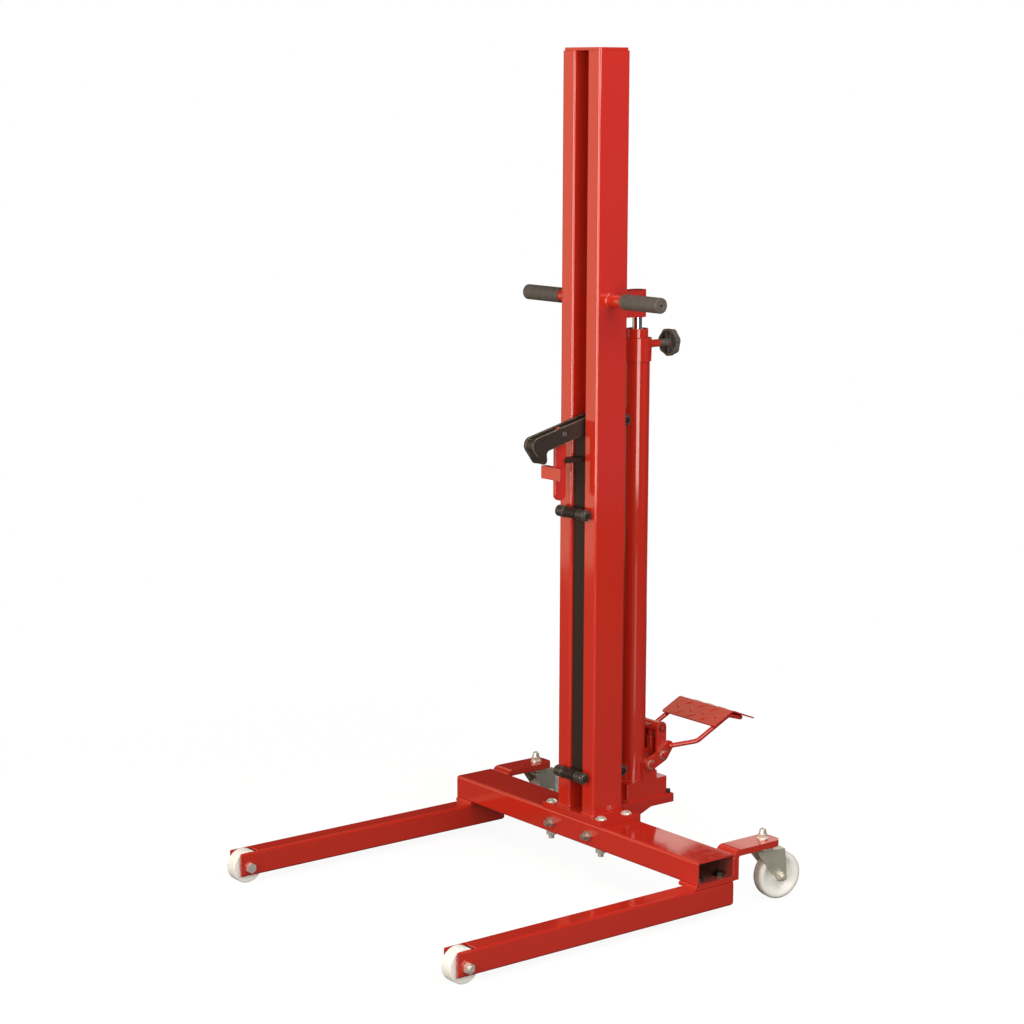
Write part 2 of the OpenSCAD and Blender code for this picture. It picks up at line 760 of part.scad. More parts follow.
// Fork: pressed top plate with a race seat and two tapered legs
module castor_fork_shape() {
    axle = [castor_trail, castor_d / 2];
    front = -20;
    eye_r = castor_axle_d / 2 + 6;
    back = castor_trail + eye_r + 1.5;
    top_back = back - 5;
    shoulder = fork_top - 7;
    leg_in = fork_gap / 2;
    difference() {
        union() {
            for (x = [-leg_in - fork_t, leg_in]) along_x(x, fork_t) {
                translate(axle) circle(eye_r);
                polygon([[front, fork_top - fork_t / 2], [front, shoulder],
                         touch([front, shoulder], axle, eye_r, -1), axle,
                         [axle[0] + eye_r, axle[1]], [back, axle[1] + 8],
                         [top_back, fork_top - fork_t / 2]]);
            }
            translate([-leg_in - fork_t, front, fork_top - fork_t])
                cube([2 * (leg_in + fork_t), top_back - front, fork_t]);
        }
        translate([0, 0, fork_top - fork_t - eps])
            cylinder(d = kingpin_d + 2 * fit, h = fork_t + 2 * eps);
        rod_x(-leg_in - fork_t - eps, 2 * (leg_in + fork_t + eps), castor_axle_d + 2 * fit, axle);
    }
}

module castor_fork_left() {
    color(zinc) left_side() at_castor() castor_fork_shape();
}

module castor_fork_right() {
    color(zinc) at_castor() castor_fork_shape();
}

// Axle bolt through the fork, nut to the outside
module castor_axle_shape() {
    bolt_x(-fork_gap / 2 - fork_t, fork_gap + 2 * fork_t, castor_axle_d,
           [castor_trail, castor_d / 2]);
}

module castor_axle_left() {
    color(zinc) left_side() at_castor() castor_axle_shape();
}

module castor_axle_right() {
    color(zinc) at_castor() castor_axle_shape();
}

// Castor wheel: crowned tread, a dished face and a hub, turned about its axle
module castor_wheel_shape() {
    r = castor_d / 2;
    w = castor_w / 2;
    round_r = 7;
    bore_r = castor_axle_d / 2 + fit;
    hub_r = castor_axle_d / 2 + 7;
    hub_w = fork_gap / 2 - gap;
    rim_r = r - 10;
    web = 5;
    dish = [[rim_r, w], [rim_r - 2.5, w - 1.2], [rim_r - 8, w - 4.2], [rim_r - 14, w - 7],
            [hub_r + 3, web + 0.6], [hub_r + 1, web + 0.9], [hub_r, web + 2], [hub_r, hub_w],
            [bore_r, hub_w]];
    translate([0, castor_trail, r]) rotate([0, 90, 0]) rotate_extrude($fn = 96) {
        polygon(concat(
            arc([r - round_r, w - round_r], round_r, 0, 90, 6),
            dish,
            [for (i = [len(dish) - 1:-1:0]) [dish[i][0], -dish[i][1]]],
            arc([r - round_r, round_r - w], round_r, -90, 0, 6)));
    }
}

module castor_wheel_left() {
    color(white) left_side() at_castor() castor_wheel_shape();
}

module castor_wheel_right() {
    color(white) at_castor() castor_wheel_shape();
}

// Mast

// Foot: folded plate that lies on the beam and hooks down behind it
module mast_foot() {
    fold_r = foot_t / 2;
    hole = frame_bolt_d + 2 * bolt_slack;
    color(red) placed() difference() {
        along_x(-foot_w / 2, foot_w) {
            translate([foot_front, beam_z1]) square([foot_y1 - fold_r - foot_front, foot_t]);
            translate([beam_d, beam_z1 - foot_drop]) square([foot_t, foot_drop + foot_t - fold_r]);
            translate([foot_y1 - fold_r, foot_z1 - fold_r]) circle(fold_r);
        }
        for (x = [-foot_bolt_x, foot_bolt_x], y = foot_bolt_y)
            translate([x, y, beam_z1 - eps]) cylinder(d = hole, h = foot_t + 2 * eps);
        for (x = [-cross_bolt_x, cross_bolt_x])
            rod_y(beam_d - eps, foot_t + 2 * eps, hole, [x, cross_bolt_z]);
    }
}

// Domed bolts that hold the foot, with their nuts under the beam
module foot_bolts() {
    grip = foot_t + beam_h;
    d = frame_bolt_d;
    color(zinc) placed() for (x = [-foot_bolt_x, foot_bolt_x], y = foot_bolt_y)
        translate([x, y, foot_z1]) {
            dome_head(2 * d, 0.55 * d);
            translate([0, 0, -grip - 1.5 * d]) cylinder(d = d, h = grip + 1.5 * d);
            translate([0, 0, -grip - 0.8 * d]) cylinder(d = hex_d(d), h = 0.8 * d, $fn = 6);
        }
}

// Bolts through the beam and the foot's flange, nuts at the front
module cross_bolts() {
    d = frame_bolt_d;
    color(zinc) placed() for (x = [-cross_bolt_x, cross_bolt_x])
        translate([x, foot_y1, cross_bolt_z]) rotate([90, 0, 0]) bolt(d, foot_y1, tail = 0.8);
}

// Right post of the mast
module post_shape() {
    translate([(slot_w + post_w) / 2, mast_y0 + post_d / 2, foot_z1])
        linear_extrude(mast_h - cap_t - foot_z1) tube_section(post_w, post_d, post_wall);
}

module post_left() {
    color(red) placed() left_side() post_shape();
}

module post_right() {
    color(red) placed() post_shape();
}

// Cap plate over both posts and the slot
module mast_cap() {
    color(red) placed() translate([0, mast_y0 + post_d / 2, mast_h - cap_t])
        linear_extrude(cap_t)
            round_rect(mast_w - 2 * cap_inset, post_d - 2 * cap_inset, tube_corner);
}

// Handles

// Handle tubes, welded to the sides of the mast
module handle_tubes() {
    l = handle_reach - mast_w / 2 - 3;
    color(red) placed() for (side = [0, 1]) mirror([side, 0, 0])
        difference() {
            rod_x(mast_w / 2, l, handle_d, [handle_y, handle_z]);
            rod_x(mast_w / 2 + 4, l, handle_d - 2 * handle_wall, [handle_y, handle_z]);
        }
}

// Grip: a sleeve with turned rings and a closed, rounded end
module grip_shape() {
    r = grip_d / 2;
    end_t = 3 - gap;
    end_r = 2.5;
    ring_step = 0.9;
    rings = floor((grip_l - 22) / grip_pitch);
    translate([handle_reach - grip_l, handle_y, handle_z]) rotate([0, 90, 0])
        difference() {
            rotate_extrude() difference() {
                union() {
                    translate([0, end_r]) square([r, grip_l - 2 * end_r]);
                    square([r - end_r, grip_l]);
                    for (z = [end_r, grip_l - end_r]) translate([r - end_r, z]) circle(end_r);
                }
                for (i = [0:rings])
                    translate([r, 9 + i * grip_pitch]) circle(ring_step, $fn = 16);
                translate([-r, 0]) square([r, grip_l]);
            }
            translate([0, 0, -eps])
                cylinder(d = handle_d, h = grip_l - end_t + eps);
            cylinder(d = 5, h = grip_l + eps);
        }
}

module grip_left() {
    color(grip_grey) placed() left_side() grip_shape();
}

module grip_right() {
    color(grip_grey) placed() grip_shape();
}

// Pump bracket, block and lift cylinder

// Bracket: folded channel on the mast foot, its sides deepening towards the mast
module pump_bracket() {
    w = outrigger_w;
    t = outrigger_t;
    fold_r = t - 1;
    bottom = outrigger_z1 - t - gusset_h;
    color(red) placed() difference() {
        intersection() {
            along_y(mast_y1, outrigger_l) difference() {
                union() {
                    translate([-w / 2 + fold_r, bottom]) square([w - 2 * fold_r, outrigger_z1 - bottom]);
                    translate([-w / 2, bottom]) square([w, outrigger_z1 - fold_r - bottom]);
                    for (s = [-1, 1])
                        translate([s * (w / 2 - fold_r), outrigger_z1 - fold_r]) circle(fold_r);
                }
                translate([-w / 2 + t, bottom - eps])
                    square([w - 2 * t, outrigger_z1 - t - bottom + eps]);
            }
            along_x(-w / 2, w) polygon([
                [mast_y1, foot_z1], [mast_y1, outrigger_z1],
                [outrigger_y1, outrigger_z1], [outrigger_y1, outrigger_z1 - flange_h],
                [mast_y1 + gusset_start, outrigger_z1 - flange_h],
                [foot_y1, bottom], [foot_y1, foot_z1]]);
        }
        for (x = block_bolt_x)
            translate([x, block_bolt_y, foot_z1 - eps])
                cylinder(d = block_bolt_d + 2 * bolt_slack, h = t + 2 * eps);
    }
}

// Pump block: cast body under the lift cylinder and the pump
module pump_block() {
    color(red) placed() translate([0, block_y0 + block_l / 2, outrigger_z1])
        linear_extrude(block_h) round_rect(block_w, block_l, 3);
}

// Small screws behind the block, tapped into the bracket
module block_bolts() {
    d = block_bolt_d;
    color(black) placed() for (x = block_bolt_x)
        translate([x, block_bolt_y, outrigger_z1]) {
            cylinder(d = 1.6 * d, h = 1.4 * d);
            translate([0, 0, -outrigger_t - 3]) cylinder(d = d, h = outrigger_t + 3 + eps);
        }
}

// Cylinder tube, standing on the block
module cylinder_tube() {
    color(red) placed() translate([0, cylinder_y, block_z1]) difference() {
        cylinder(d = cylinder_d, h = head_z0 - block_z1);
        translate([0, 0, 4]) cylinder(d = bore_d, h = head_z0 - block_z1);
    }
}

// Cylinder head: gland for the ram, with the release valve's neck on its rear
module cylinder_head() {
    color(red) placed() difference() {
        union() {
            translate([0, cylinder_y, head_z0]) cylinder(d = head_d, h = head_h);
            rod_y(cylinder_y, neck_y1 - cylinder_y, valve_neck_d, [0, valve_z]);
            rod_y(cylinder_y, head_d / 2 + 5, valve_neck_d + 5, [0, valve_z]);
        }
        translate([0, cylinder_y, head_z0 - eps]) cylinder(d = ram_d + 2 * fit, h = head_h + 2 * eps);
        rod_y(cylinder_y + head_d / 4, neck_y1, valve_spindle_d + 2 * fit, [0, valve_z]);
    }
}

// Wiper collar on the head
module wiper_collar() {
    color(red) placed() translate([0, cylinder_y, cylinder_top]) difference() {
        cylinder(d = collar_d, h = collar_h);
        translate([0, 0, -eps]) cylinder(d = ram_d + 2 * fit, h = collar_h + 2 * eps);
    }
}

// Release knob: cup-shaped, with a lobed rim, a hub and ribs on the side of the mast
module release_knob() {
    lobe = knob_d / 5;
    wall = 3;
    web = 3.5;
    hub_d = 18;
    rib_h = knob_t - web - 1.5;
    inner = knob_d / 2 - 2 - wall;
    y0 = neck_y1 + gap;
    color(black) placed() translate([0, y0, valve_z]) rotate([-90, 0, 0]) {
        translate([0, 0, -valve_neck_l]) cylinder(d = valve_spindle_d, h = valve_neck_l + eps);
        cylinder(d1 = hub_d - 4, d2 = hub_d, h = knob_back);
        translate([0, 0, knob_back - eps]) cylinder(d = hub_d, h = knob_t);
        translate([0, 0, knob_back]) {
            difference() {
                linear_extrude(knob_t) {
                    circle(knob_d / 2 - 2);
                    for (i = [0:knob_lobes - 1]) rotate(90 + i * 360 / knob_lobes)
                        translate([knob_d / 2 - lobe, 0]) circle(lobe);
                }
                translate([0, 0, -eps]) cylinder(r = inner, h = knob_t - web + eps);
            }
            for (i = [0:knob_lobes - 1]) rotate(90 + i * 360 / knob_lobes)
                translate([hub_d / 2 - 2, -1, knob_t - web - rib_h])
                    cube([inner - hub_d / 2 + 3, 2, rib_h + eps]);
            translate([0, 0, knob_t]) cylinder(d1 = 0.6 * knob_d, d2 = 0.5 * knob_d, h = 2);
        }
    }
}

// Pump linkage

// Lugs that carry the pedal's pivot, welded on the pump block
module pump_lugs() {
    lug_foot = 9;
    color(red) placed() for (side = [0, 1]) mirror([side, 0, 0])
        difference() {
            along_x(lug_x, link_t) {
                translate(pivot) circle(lobe_r);
                polygon([pivot - [lobe_r, 0], pivot + [lobe_r, 0],
                         [pivot[0] + lobe_r + lug_foot, block_z1],
                         [pivot[0] - lobe_r, block_z1]]);
            }
            rod_x(lug_x - eps, link_t + 2 * eps, pump_bolt_d, pivot);
            translate([0, cylinder_y, block_z1 - eps])
                cylinder(d = cylinder_d + 2 * gap, h = pivot_rise + lobe_r + 2 * eps);
        }
}

// Pivot bolts of the pedal, heads to the outside
module pivot_bolts() {
    d = pump_bolt_d;
    x1 = lever_x + link_t + gap;
    color(zinc) placed() for (side = [0, 1]) mirror([side, 0, 0]) {
        rod_x(lug_x, x1 - lug_x + eps, d, pivot);
        rod_x(x1, 1.5, 2 * d, pivot);
        rod_x(x1, 1.5 + 0.7 * d, 1.45 * d, pivot, 6);
    }
}

// Pump barrel, standing on the block
module pump_barrel() {
    color(red) placed() translate([0, crosshead_y, block_z1]) difference() {
        union() {
            cylinder(d = barrel_d, h = barrel_top - block_z1);
            cylinder(d = barrel_d + 8, h = 8, $fn = 6);
        }
        translate([0, 0, 6]) cylinder(d = plunger_d + 2 * fit, h = barrel_top - block_z1);
    }
}

// Crosshead: plunger, cross tube and the pin that stands out of its two ends
module crosshead() {
    half = lug_x - gap;
    head_x = lug_x + link_t + gap;
    bottom = block_z1 + 6 + plunger_travel + 2;
    color(red) placed() {
        translate([0, crosshead_y, bottom]) cylinder(d = plunger_d, h = crosshead_pin[1] - bottom);
        rod_x(-half, 2 * half, crosshead_d, crosshead_pin);
        rod_x(-head_x, 2 * head_x, pump_bolt_d, crosshead_pin);
        for (x = [-head_x - 2.5, head_x]) rod_x(x, 2.5, 1.5 * pump_bolt_d, crosshead_pin);
    }
}

// Link between pedal and crosshead: two plates and the web that joins them at the back; the
// upper holes are wide, so the pin floats
module link_plates() {
    float_d = pump_bolt_d + 3;
    web_t = 3;
    color(red) placed() {
        for (side = [0, 1]) mirror([side, 0, 0]) difference() {
            along_x(lug_x, link_t) strap(link_pin, crosshead_pin, link_r, link_r);
            rod_x(lug_x - eps, link_t + 2 * eps, pump_bolt_d + 2 * fit, link_pin);
            rod_x(lug_x - eps, link_t + 2 * eps, float_d, crosshead_pin);
        }
        translate([-lug_x - eps, link_pin[0] + link_r - web_t, link_pin[1] - 8])
            cube([2 * (lug_x + eps), web_t, link_l - 1]);
    }
}

// Bolts that hold the links to the pedal's side plates
module link_bolts() {
    d = pump_bolt_d;
    x1 = lever_x + link_t;
    color(zinc) placed() for (side = [0, 1]) mirror([side, 0, 0]) {
        rod_x(lug_x - gap, x1 - lug_x + gap + eps, d, link_pin);
        rod_x(lug_x - gap - 3, 3, 1.6 * d, link_pin);
        rod_x(x1, 1.5, 2 * d, link_pin);
        rod_x(x1, 1.5 + 0.7 * d, 1.45 * d, link_pin, 6);
    }
}

// Axis of a bar that lies under the tread plate, at a distance s from its front edge
function under_tread(s) = tread_front
    + s * [cos(tread_angle), sin(tread_angle)]
    + (tread_t / 2 + bar_d / 2) * [sin(tread_angle), -cos(tread_angle)];

// The same at a distance s behind the ridge
function under_heel(s) = ridge
    + s * [cos(heel_angle), -sin(heel_angle)]
    - (tread_t / 2 + bar_d / 2) * [sin(heel_angle), cos(heel_angle)];

// Pedal frame: two side plates and one round bar bent into a loop
module pedal_frame() {
    root = [pivot[0] + 51, pivot[1] + 32];
    root_x = lever_x + bar_d / 2 + 1;
    slope_l = norm([ridge_back, ridge_rise]);
    low = under_tread(4);
    high = under_tread(slope_l - 8);
    bend = low - 52 * [cos(tread_angle), sin(tread_angle)];
    rear = under_heel(45);
    half = [[root_x, root], [bar_x, bend], [bar_x, high], [bar_x, rear]];
    path = concat([for (q = half) [q[0], q[1][0], q[1][1]]],
                  [for (i = [3:-1:0]) [-half[i][0], half[i][1][0], half[i][1][1]]]);
    color(red) placed() {
        for (side = [0, 1]) mirror([side, 0, 0]) difference() {
            along_x(lever_x, link_t) {
                strap(pivot, link_pin, lobe_r, lobe_r);
                strap(link_pin, root, lobe_r, lobe_r - 3);
            }
            rod_x(lever_x - eps, link_t + 2 * eps, pump_bolt_d + 2 * fit, pivot);
            rod_x(lever_x - eps, link_t + 2 * eps, pump_bolt_d + 2 * bolt_slack, link_pin);
        }
        bent_bar(path, bar_d, [0, 24, 12, 16, 16, 12, 24, 0]);
    }
}

// Outline of the tread plate's section, on one side of its middle line
function tread_side(off) = concat(
    [tread_front + off * [-sin(tread_angle), cos(tread_angle)]],
    [for (i = [0:8]) let (a = 90 + tread_angle - i * (tread_angle + heel_angle) / 8)
        ridge_centre + (ridge_r + off) * [cos(a), sin(a)]],
    [heel + off * [sin(heel_angle), cos(heel_angle)]]);

// Tread plate, bent over a ridge, with rounded corners
module tread_plate() {
    corner = 9;
    l = heel[0] - tread_front[0] + 2 * tread_t;
    color(red) placed() intersection() {
        along_x(-tread_w / 2, tread_w) polygon(concat(
            tread_side(tread_t / 2),
            [for (i = [len(tread_side(0)) - 1:-1:0]) tread_side(-tread_t / 2)[i]]));
        translate([0, (heel[0] + tread_front[0]) / 2, 0])
            linear_extrude(ridge[1] + ridge_r) round_rect(tread_w, l, corner);
    }
}

// Carriage

// Slider: black bar in the slot with a tongue for the beak and lugs for the rollers
module slider() {
    front_lug = front_roller_y;
    rear_lug = rear_roller_y;
    color(black) placed() difference() {
        union() {
            translate([-slider_w / 2, slider_y0, slider_z0])
                cube([slider_w, slider_d, slider_z1 - slider_z0]);
            along_x(-tongue_w / 2, tongue_w) {
                translate(beak_pivot) circle(beak_arm_h / 2);
                translate([beak_pivot[0] - beak_arm_h / 2, slider_z1 - eps])
                    square([beak_arm_h, beak_z - slider_z1 + eps]);
            }
            along_x(-lug_w / 2, lug_w) {
                for (z = [upper_front_z, lower_front_z])
                    strap([front_lug, z], [slider_y0 + lug_r, z], lug_r, lug_r);
                strap([rear_lug, lower_front_z], [slider_y1 - lug_r, lower_front_z], lug_r, lug_r);
            }
        }
        rod_x(-slot_w, 2 * slot_w, beak_pin_d, beak_pivot);
        for (z = [upper_front_z, lower_front_z])
            rod_x(-slot_w, 2 * slot_w, guide_shaft_d + 2 * fit, [front_lug, z]);
        rod_x(-slot_w, 2 * slot_w, guide_shaft_d + 2 * fit, [rear_lug, lower_front_z]);
    }
}

// Guide for the jaw bar: a notched plate on the front of the slider
module jaw_guide() {
    t = 8;
    y0 = jaw_pivot[0] + jaw_d / 2 - 4;
    notch_y1 = jaw_pivot[0] + jaw_d / 2 + 5;
    color(black) placed() translate([0, 0, slider_z1 - 55])
        difference() {
            translate([-beak_w / 2, y0, 0]) cube([beak_w, slider_y0 - y0, t]);
            translate([-jaw_t / 2 - gap, y0 - eps, -eps])
                cube([jaw_t + 2 * gap, notch_y1 - y0 + eps, t + 2 * eps]);
        }
}

// Lift bar: joins the ram's arm to the slider, inside the slot
module lift_bar() {
    z0 = beak_z - lift_bar_overlap;
    color(red) placed() difference() {
        union() {
            translate([-slider_w / 2, slider_y1, z0])
                cube([slider_w, lift_bar_d, boss_z1 - 4 - z0]);
            along_x(-lug_w / 2, lug_w)
                strap([rear_roller_y, beak_z], [lift_bar_y1 - lug_r, beak_z], lug_r, lug_r);
        }
        rod_x(-slot_w, 2 * slot_w, guide_shaft_d + 2 * fit, [rear_roller_y, beak_z]);
    }
}

// Ram arm: two side plates and the boss that sits on the ram
module ram_arm() {
    color(red) placed() difference() {
        union() {
            translate([0, cylinder_y, boss_z0]) cylinder(d = boss_d, h = boss_h);
            for (x = [-slider_w / 2, slider_w / 2 - arm_t])
                along_x(x, arm_t)
                    translate([lift_bar_y1, boss_z0 + 1])
                        square([cylinder_y - lift_bar_y1, boss_h - 1.5]);
        }
        translate([0, cylinder_y, boss_z0 - eps]) cylinder(d = ram_d, h = boss_h - 8 + eps);
    }
}

// Ram: chromed rod from the piston up into the boss
module ram() {
    color(chrome) placed() translate([0, cylinder_y, piston_z0])
        cylinder(d = ram_d, h = boss_z1 - 8 - piston_z0);
}

// Piston on the lower end of the ram
module piston() {
    seal_w = 4;
    color(black) placed() translate([0, cylinder_y, piston_z0]) difference() {
        cylinder(d = bore_d - 2 * fit, h = piston_h);
        translate([0, 0, -eps]) cylinder(d = ram_d, h = piston_h + 2 * eps);
        for (z = [0.25, 0.75]) translate([0, 0, z * piston_h - seal_w / 2]) difference() {
            cylinder(d = bore_d + eps, h = seal_w);
            translate([0, 0, -eps]) cylinder(d = bore_d - 5, h = seal_w + 2 * eps);
        }
    }
}

// Pivot pin of the beak
module beak_pin() {
    color(zinc) placed() rod_x(-slider_w / 2, slider_w, beak_pin_d, beak_pivot);
}

// Pair of guide rollers on one shaft, about the axis at [y, z]
module roller_pair(c) {
    inner = slot_w / 2 + 1;
    shoulder_d = guide_shaft_d + 6;
    color(black) placed() {
        rod_x(-inner - guide_l - 2, 2 * (inner + guide_l + 2), guide_shaft_d, c);
        for (side = [0, 1]) mirror([side, 0, 0]) {
            difference() {
                union() {
                    rod_x(inner, guide_l, guide_d, c);
                    rod_x(lug_w / 2 + gap, inner - lug_w / 2, shoulder_d, c);
                }
                rod_x(0, inner + guide_l + eps, guide_shaft_d + 2 * fit, c);
            }
            rod_x(inner + guide_l, 3, shoulder_d, c);
        }
    }
}

module front_rollers_upper() {
    roller_pair([front_roller_y, upper_front_z]);
}

module front_rollers_lower() {
    roller_pair([front_roller_y, lower_front_z]);
}

module rear_rollers_upper() {
    roller_pair([rear_roller_y, beak_z]);
}

module rear_rollers_lower() {
    roller_pair([rear_roller_y, lower_front_z]);
}

// Beak

// Points on an arc about c, from angle a0 to a1
function arc(c, r, a0, a1, n = 12) =
    [for (i = [0:n]) let (a = a0 + i * (a1 - a0) / n) c + r * [cos(a), sin(a)]];

// Angle of the line from a to b, and half the angle between the radii to its two tangents
function run_of(a, b) = atan2(b[1] - a[1], b[0] - a[0]);
function lean_of(a, b, ra, rb) = acos((ra - rb) / norm(b - a));

// Point p where p * n1 = c1 and p * n2 = c2
function meet(n1, c1, n2, c2) =
    [c1 * n2[1] - c2 * n1[1], n1[0] * c2 - n2[0] * c1] / (n1[0] * n2[1] - n2[0] * n1[1]);

// Angles of the normals: under and over the arm, inside and outside the hook
arm_r = beak_arm_h / 2;
arm_under = run_of(beak_pivot, nose) + lean_of(beak_pivot, nose, arm_r, nose_r);
arm_over = run_of(beak_pivot, nose) - lean_of(beak_pivot, nose, arm_r, nose_r);
hook_in = run_of(nose, tip) + lean_of(nose, tip, nose_r, tip_r);
hook_out = run_of(nose, tip) - lean_of(nose, tip, nose_r, tip_r);

// Outline of the beak's side plate: arm, nose and hook, with a fillet inside the hook
module beak_outline() {
    r = 9;
    n1 = [cos(arm_under), sin(arm_under)];
    n2 = [cos(hook_in), sin(hook_in)];
    centre = meet(n1, beak_pivot * n1 + arm_r + r, n2, nose * n2 + nose_r + r);
    polygon(concat(
        arc(beak_pivot, arm_r, arm_over + 360, arm_under, 24),
        arc(centre, r, arm_under + 180, hook_in + 180, 8),
        arc(tip, tip_r, hook_in, hook_out),
        arc(nose, nose_r, hook_out, arm_over)));
}

// Outline of the strip that joins the side plates round the nose, and of the solid tip
module beak_strip() {
    strip_t = 5.5;
    inset = 0.5;
    top = hook_out - 90;
    polygon(concat(
        arc(nose, nose_r - inset, top, hook_out),
        arc(tip, tip_r - inset, hook_out, hook_in + 100),
        arc(nose, nose_r - strip_t, hook_out, top)));
}

// Beak: two side plates, the nose strip between them and the tip
module beak() {
    in_w = beak_w - 2 * beak_t + 1;
    color(black) placed() difference() {
        union() {
            for (x = [-beak_w / 2, beak_w / 2 - beak_t]) along_x(x, beak_t) beak_outline();
            along_x(-in_w / 2, in_w) beak_strip();
        }
        rod_x(-beak_w, 2 * beak_w, beak_pin_d + 2 * fit, beak_pivot);
        rod_x(-beak_w, 2 * beak_w, jaw_bolt_d, jaw_pivot);
    }
}

// Jaw bolt with its two spacers, riveted over on both sides of the beak
module jaw_bolt() {
    in_x = jaw_t / 2 + gap;
    color(black) placed() {
        rod_x(-beak_w / 2 - 2, beak_w + 4, jaw_bolt_d, jaw_pivot);
        for (side = [0, 1]) mirror([side, 0, 0])
            rod_x(in_x, beak_w / 2 - beak_t - in_x, jaw_bolt_d + 6, jaw_pivot);
    }
}

// Jaw bar: hangs from the beak and carries the pad that bears under the rim
module jaw_link() {
    foot = jaw_pivot - [0, jaw_l];
    pad_z1 = jaw_pivot[1] - pad_jaw_drop;
    pad_y0 = jaw_pivot[0] - jaw_d / 2 - pad_jaw_front;
    color(red) placed() difference() {
        union() {
            along_x(-jaw_t / 2, jaw_t) strap(jaw_pivot, foot, jaw_d / 2, jaw_d / 2);
            translate([-pad_jaw_w / 2, pad_y0, pad_z1 - pad_jaw_h])
                cube([pad_jaw_w, pad_jaw_front + 4, pad_jaw_h]);
        }
        rod_x(-jaw_t, 2 * jaw_t, jaw_bolt_d + 2 * fit, jaw_pivot);
        translate([0, pad_y0 + 2 - drum_r, pad_z1 - pad_jaw_h - eps])
            cylinder(r = drum_r, h = pad_jaw_h + 2 * eps, $fn = 180);
    }
}

cross_beam();
leg_left();
leg_right();
leg_pads();
leg_bolts();
leg_end_caps();
front_roller_left();
front_roller_right();
front_axles();
castor_bracket_left();
castor_bracket_right();
kingpins();
castor_races();
castor_fork_left();
castor_fork_right();
castor_axle_left();
castor_axle_right();
castor_wheel_left();
castor_wheel_right();
mast_foot();
foot_bolts();
cross_bolts();
post_left();
post_right();
mast_cap();
handle_tubes();
grip_left();
grip_right();
pump_bracket();
pump_block();
block_bolts();
cylinder_tube();
cylinder_head();
wiper_collar();
release_knob();
pump_lugs();
pivot_bolts();
pump_barrel();
crosshead();
link_plates();
link_bolts();
pedal_frame();
tread_plate();
slider();
jaw_guide();
lift_bar();
ram_arm();
ram();
piston();
beak_pin();
front_rollers_upper();
front_rollers_lower();
rear_rollers_upper();
rear_rollers_lower();
beak();
jaw_bolt();
jaw_link();
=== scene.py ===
import math
import json
import bpy
import bmesh
from mathutils import Vector, Matrix, noise


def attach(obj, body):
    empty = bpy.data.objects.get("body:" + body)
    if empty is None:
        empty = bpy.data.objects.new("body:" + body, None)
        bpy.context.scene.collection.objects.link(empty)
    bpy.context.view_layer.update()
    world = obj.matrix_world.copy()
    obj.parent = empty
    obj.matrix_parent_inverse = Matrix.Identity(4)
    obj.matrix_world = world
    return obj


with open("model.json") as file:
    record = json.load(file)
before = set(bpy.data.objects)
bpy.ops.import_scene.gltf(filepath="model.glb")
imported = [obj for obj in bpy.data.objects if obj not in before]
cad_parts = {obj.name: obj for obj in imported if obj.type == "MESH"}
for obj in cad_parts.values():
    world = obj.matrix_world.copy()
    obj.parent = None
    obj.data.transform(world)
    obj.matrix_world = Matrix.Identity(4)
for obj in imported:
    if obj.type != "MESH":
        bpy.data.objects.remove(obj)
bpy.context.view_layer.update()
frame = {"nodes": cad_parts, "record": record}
nodes = frame["nodes"]
scene = bpy.context.scene
scene.view_settings.view_transform = "Standard"

# The source's own origin is the cross beam's front face, on the floor, in the middle.
# The frame has that face at this Y. Lengths are in metres unless a name or note says mm.
Y0 = 0.0787
BOTH = (-1, 1)  # left and right


# ---- the photo's camera, as fitted to the drum's rims and the trolley's edges ----

CAMERA_AT = (3.8648, -3.1921 + Y0, 1.6326)
CAMERA_YAW, CAMERA_PITCH, CAMERA_ROLL = 51.867, 9.792, 0.206
FOCAL_PX, PHOTO_PX, SENSOR_MM = 2488.67, 1024, 36


def camera():
    yaw, pitch, roll = (math.radians(a) for a in (CAMERA_YAW, CAMERA_PITCH, CAMERA_ROLL))
    look = Vector((-math.sin(yaw) * math.cos(pitch), math.cos(yaw) * math.cos(pitch),
                   -math.sin(pitch)))
    flat = Vector((math.cos(yaw), math.sin(yaw), 0))
    rise = flat.cross(look)
    right = math.cos(roll) * flat + math.sin(roll) * rise
    up = -math.sin(roll) * flat + math.cos(roll) * rise
    turn = Matrix((right, up, -look)).transposed().to_4x4()
    data = bpy.data.cameras.new("camera")
    data.sensor_width = SENSOR_MM
    data.lens = FOCAL_PX / PHOTO_PX * SENSOR_MM
    data.clip_start, data.clip_end = 0.1, 60
    cam = bpy.data.objects.new("camera", data)
    scene.collection.objects.link(cam)
    cam.matrix_world = Matrix.Translation(CAMERA_AT) @ turn
    scene.camera = cam


camera()


# ---- materials ----

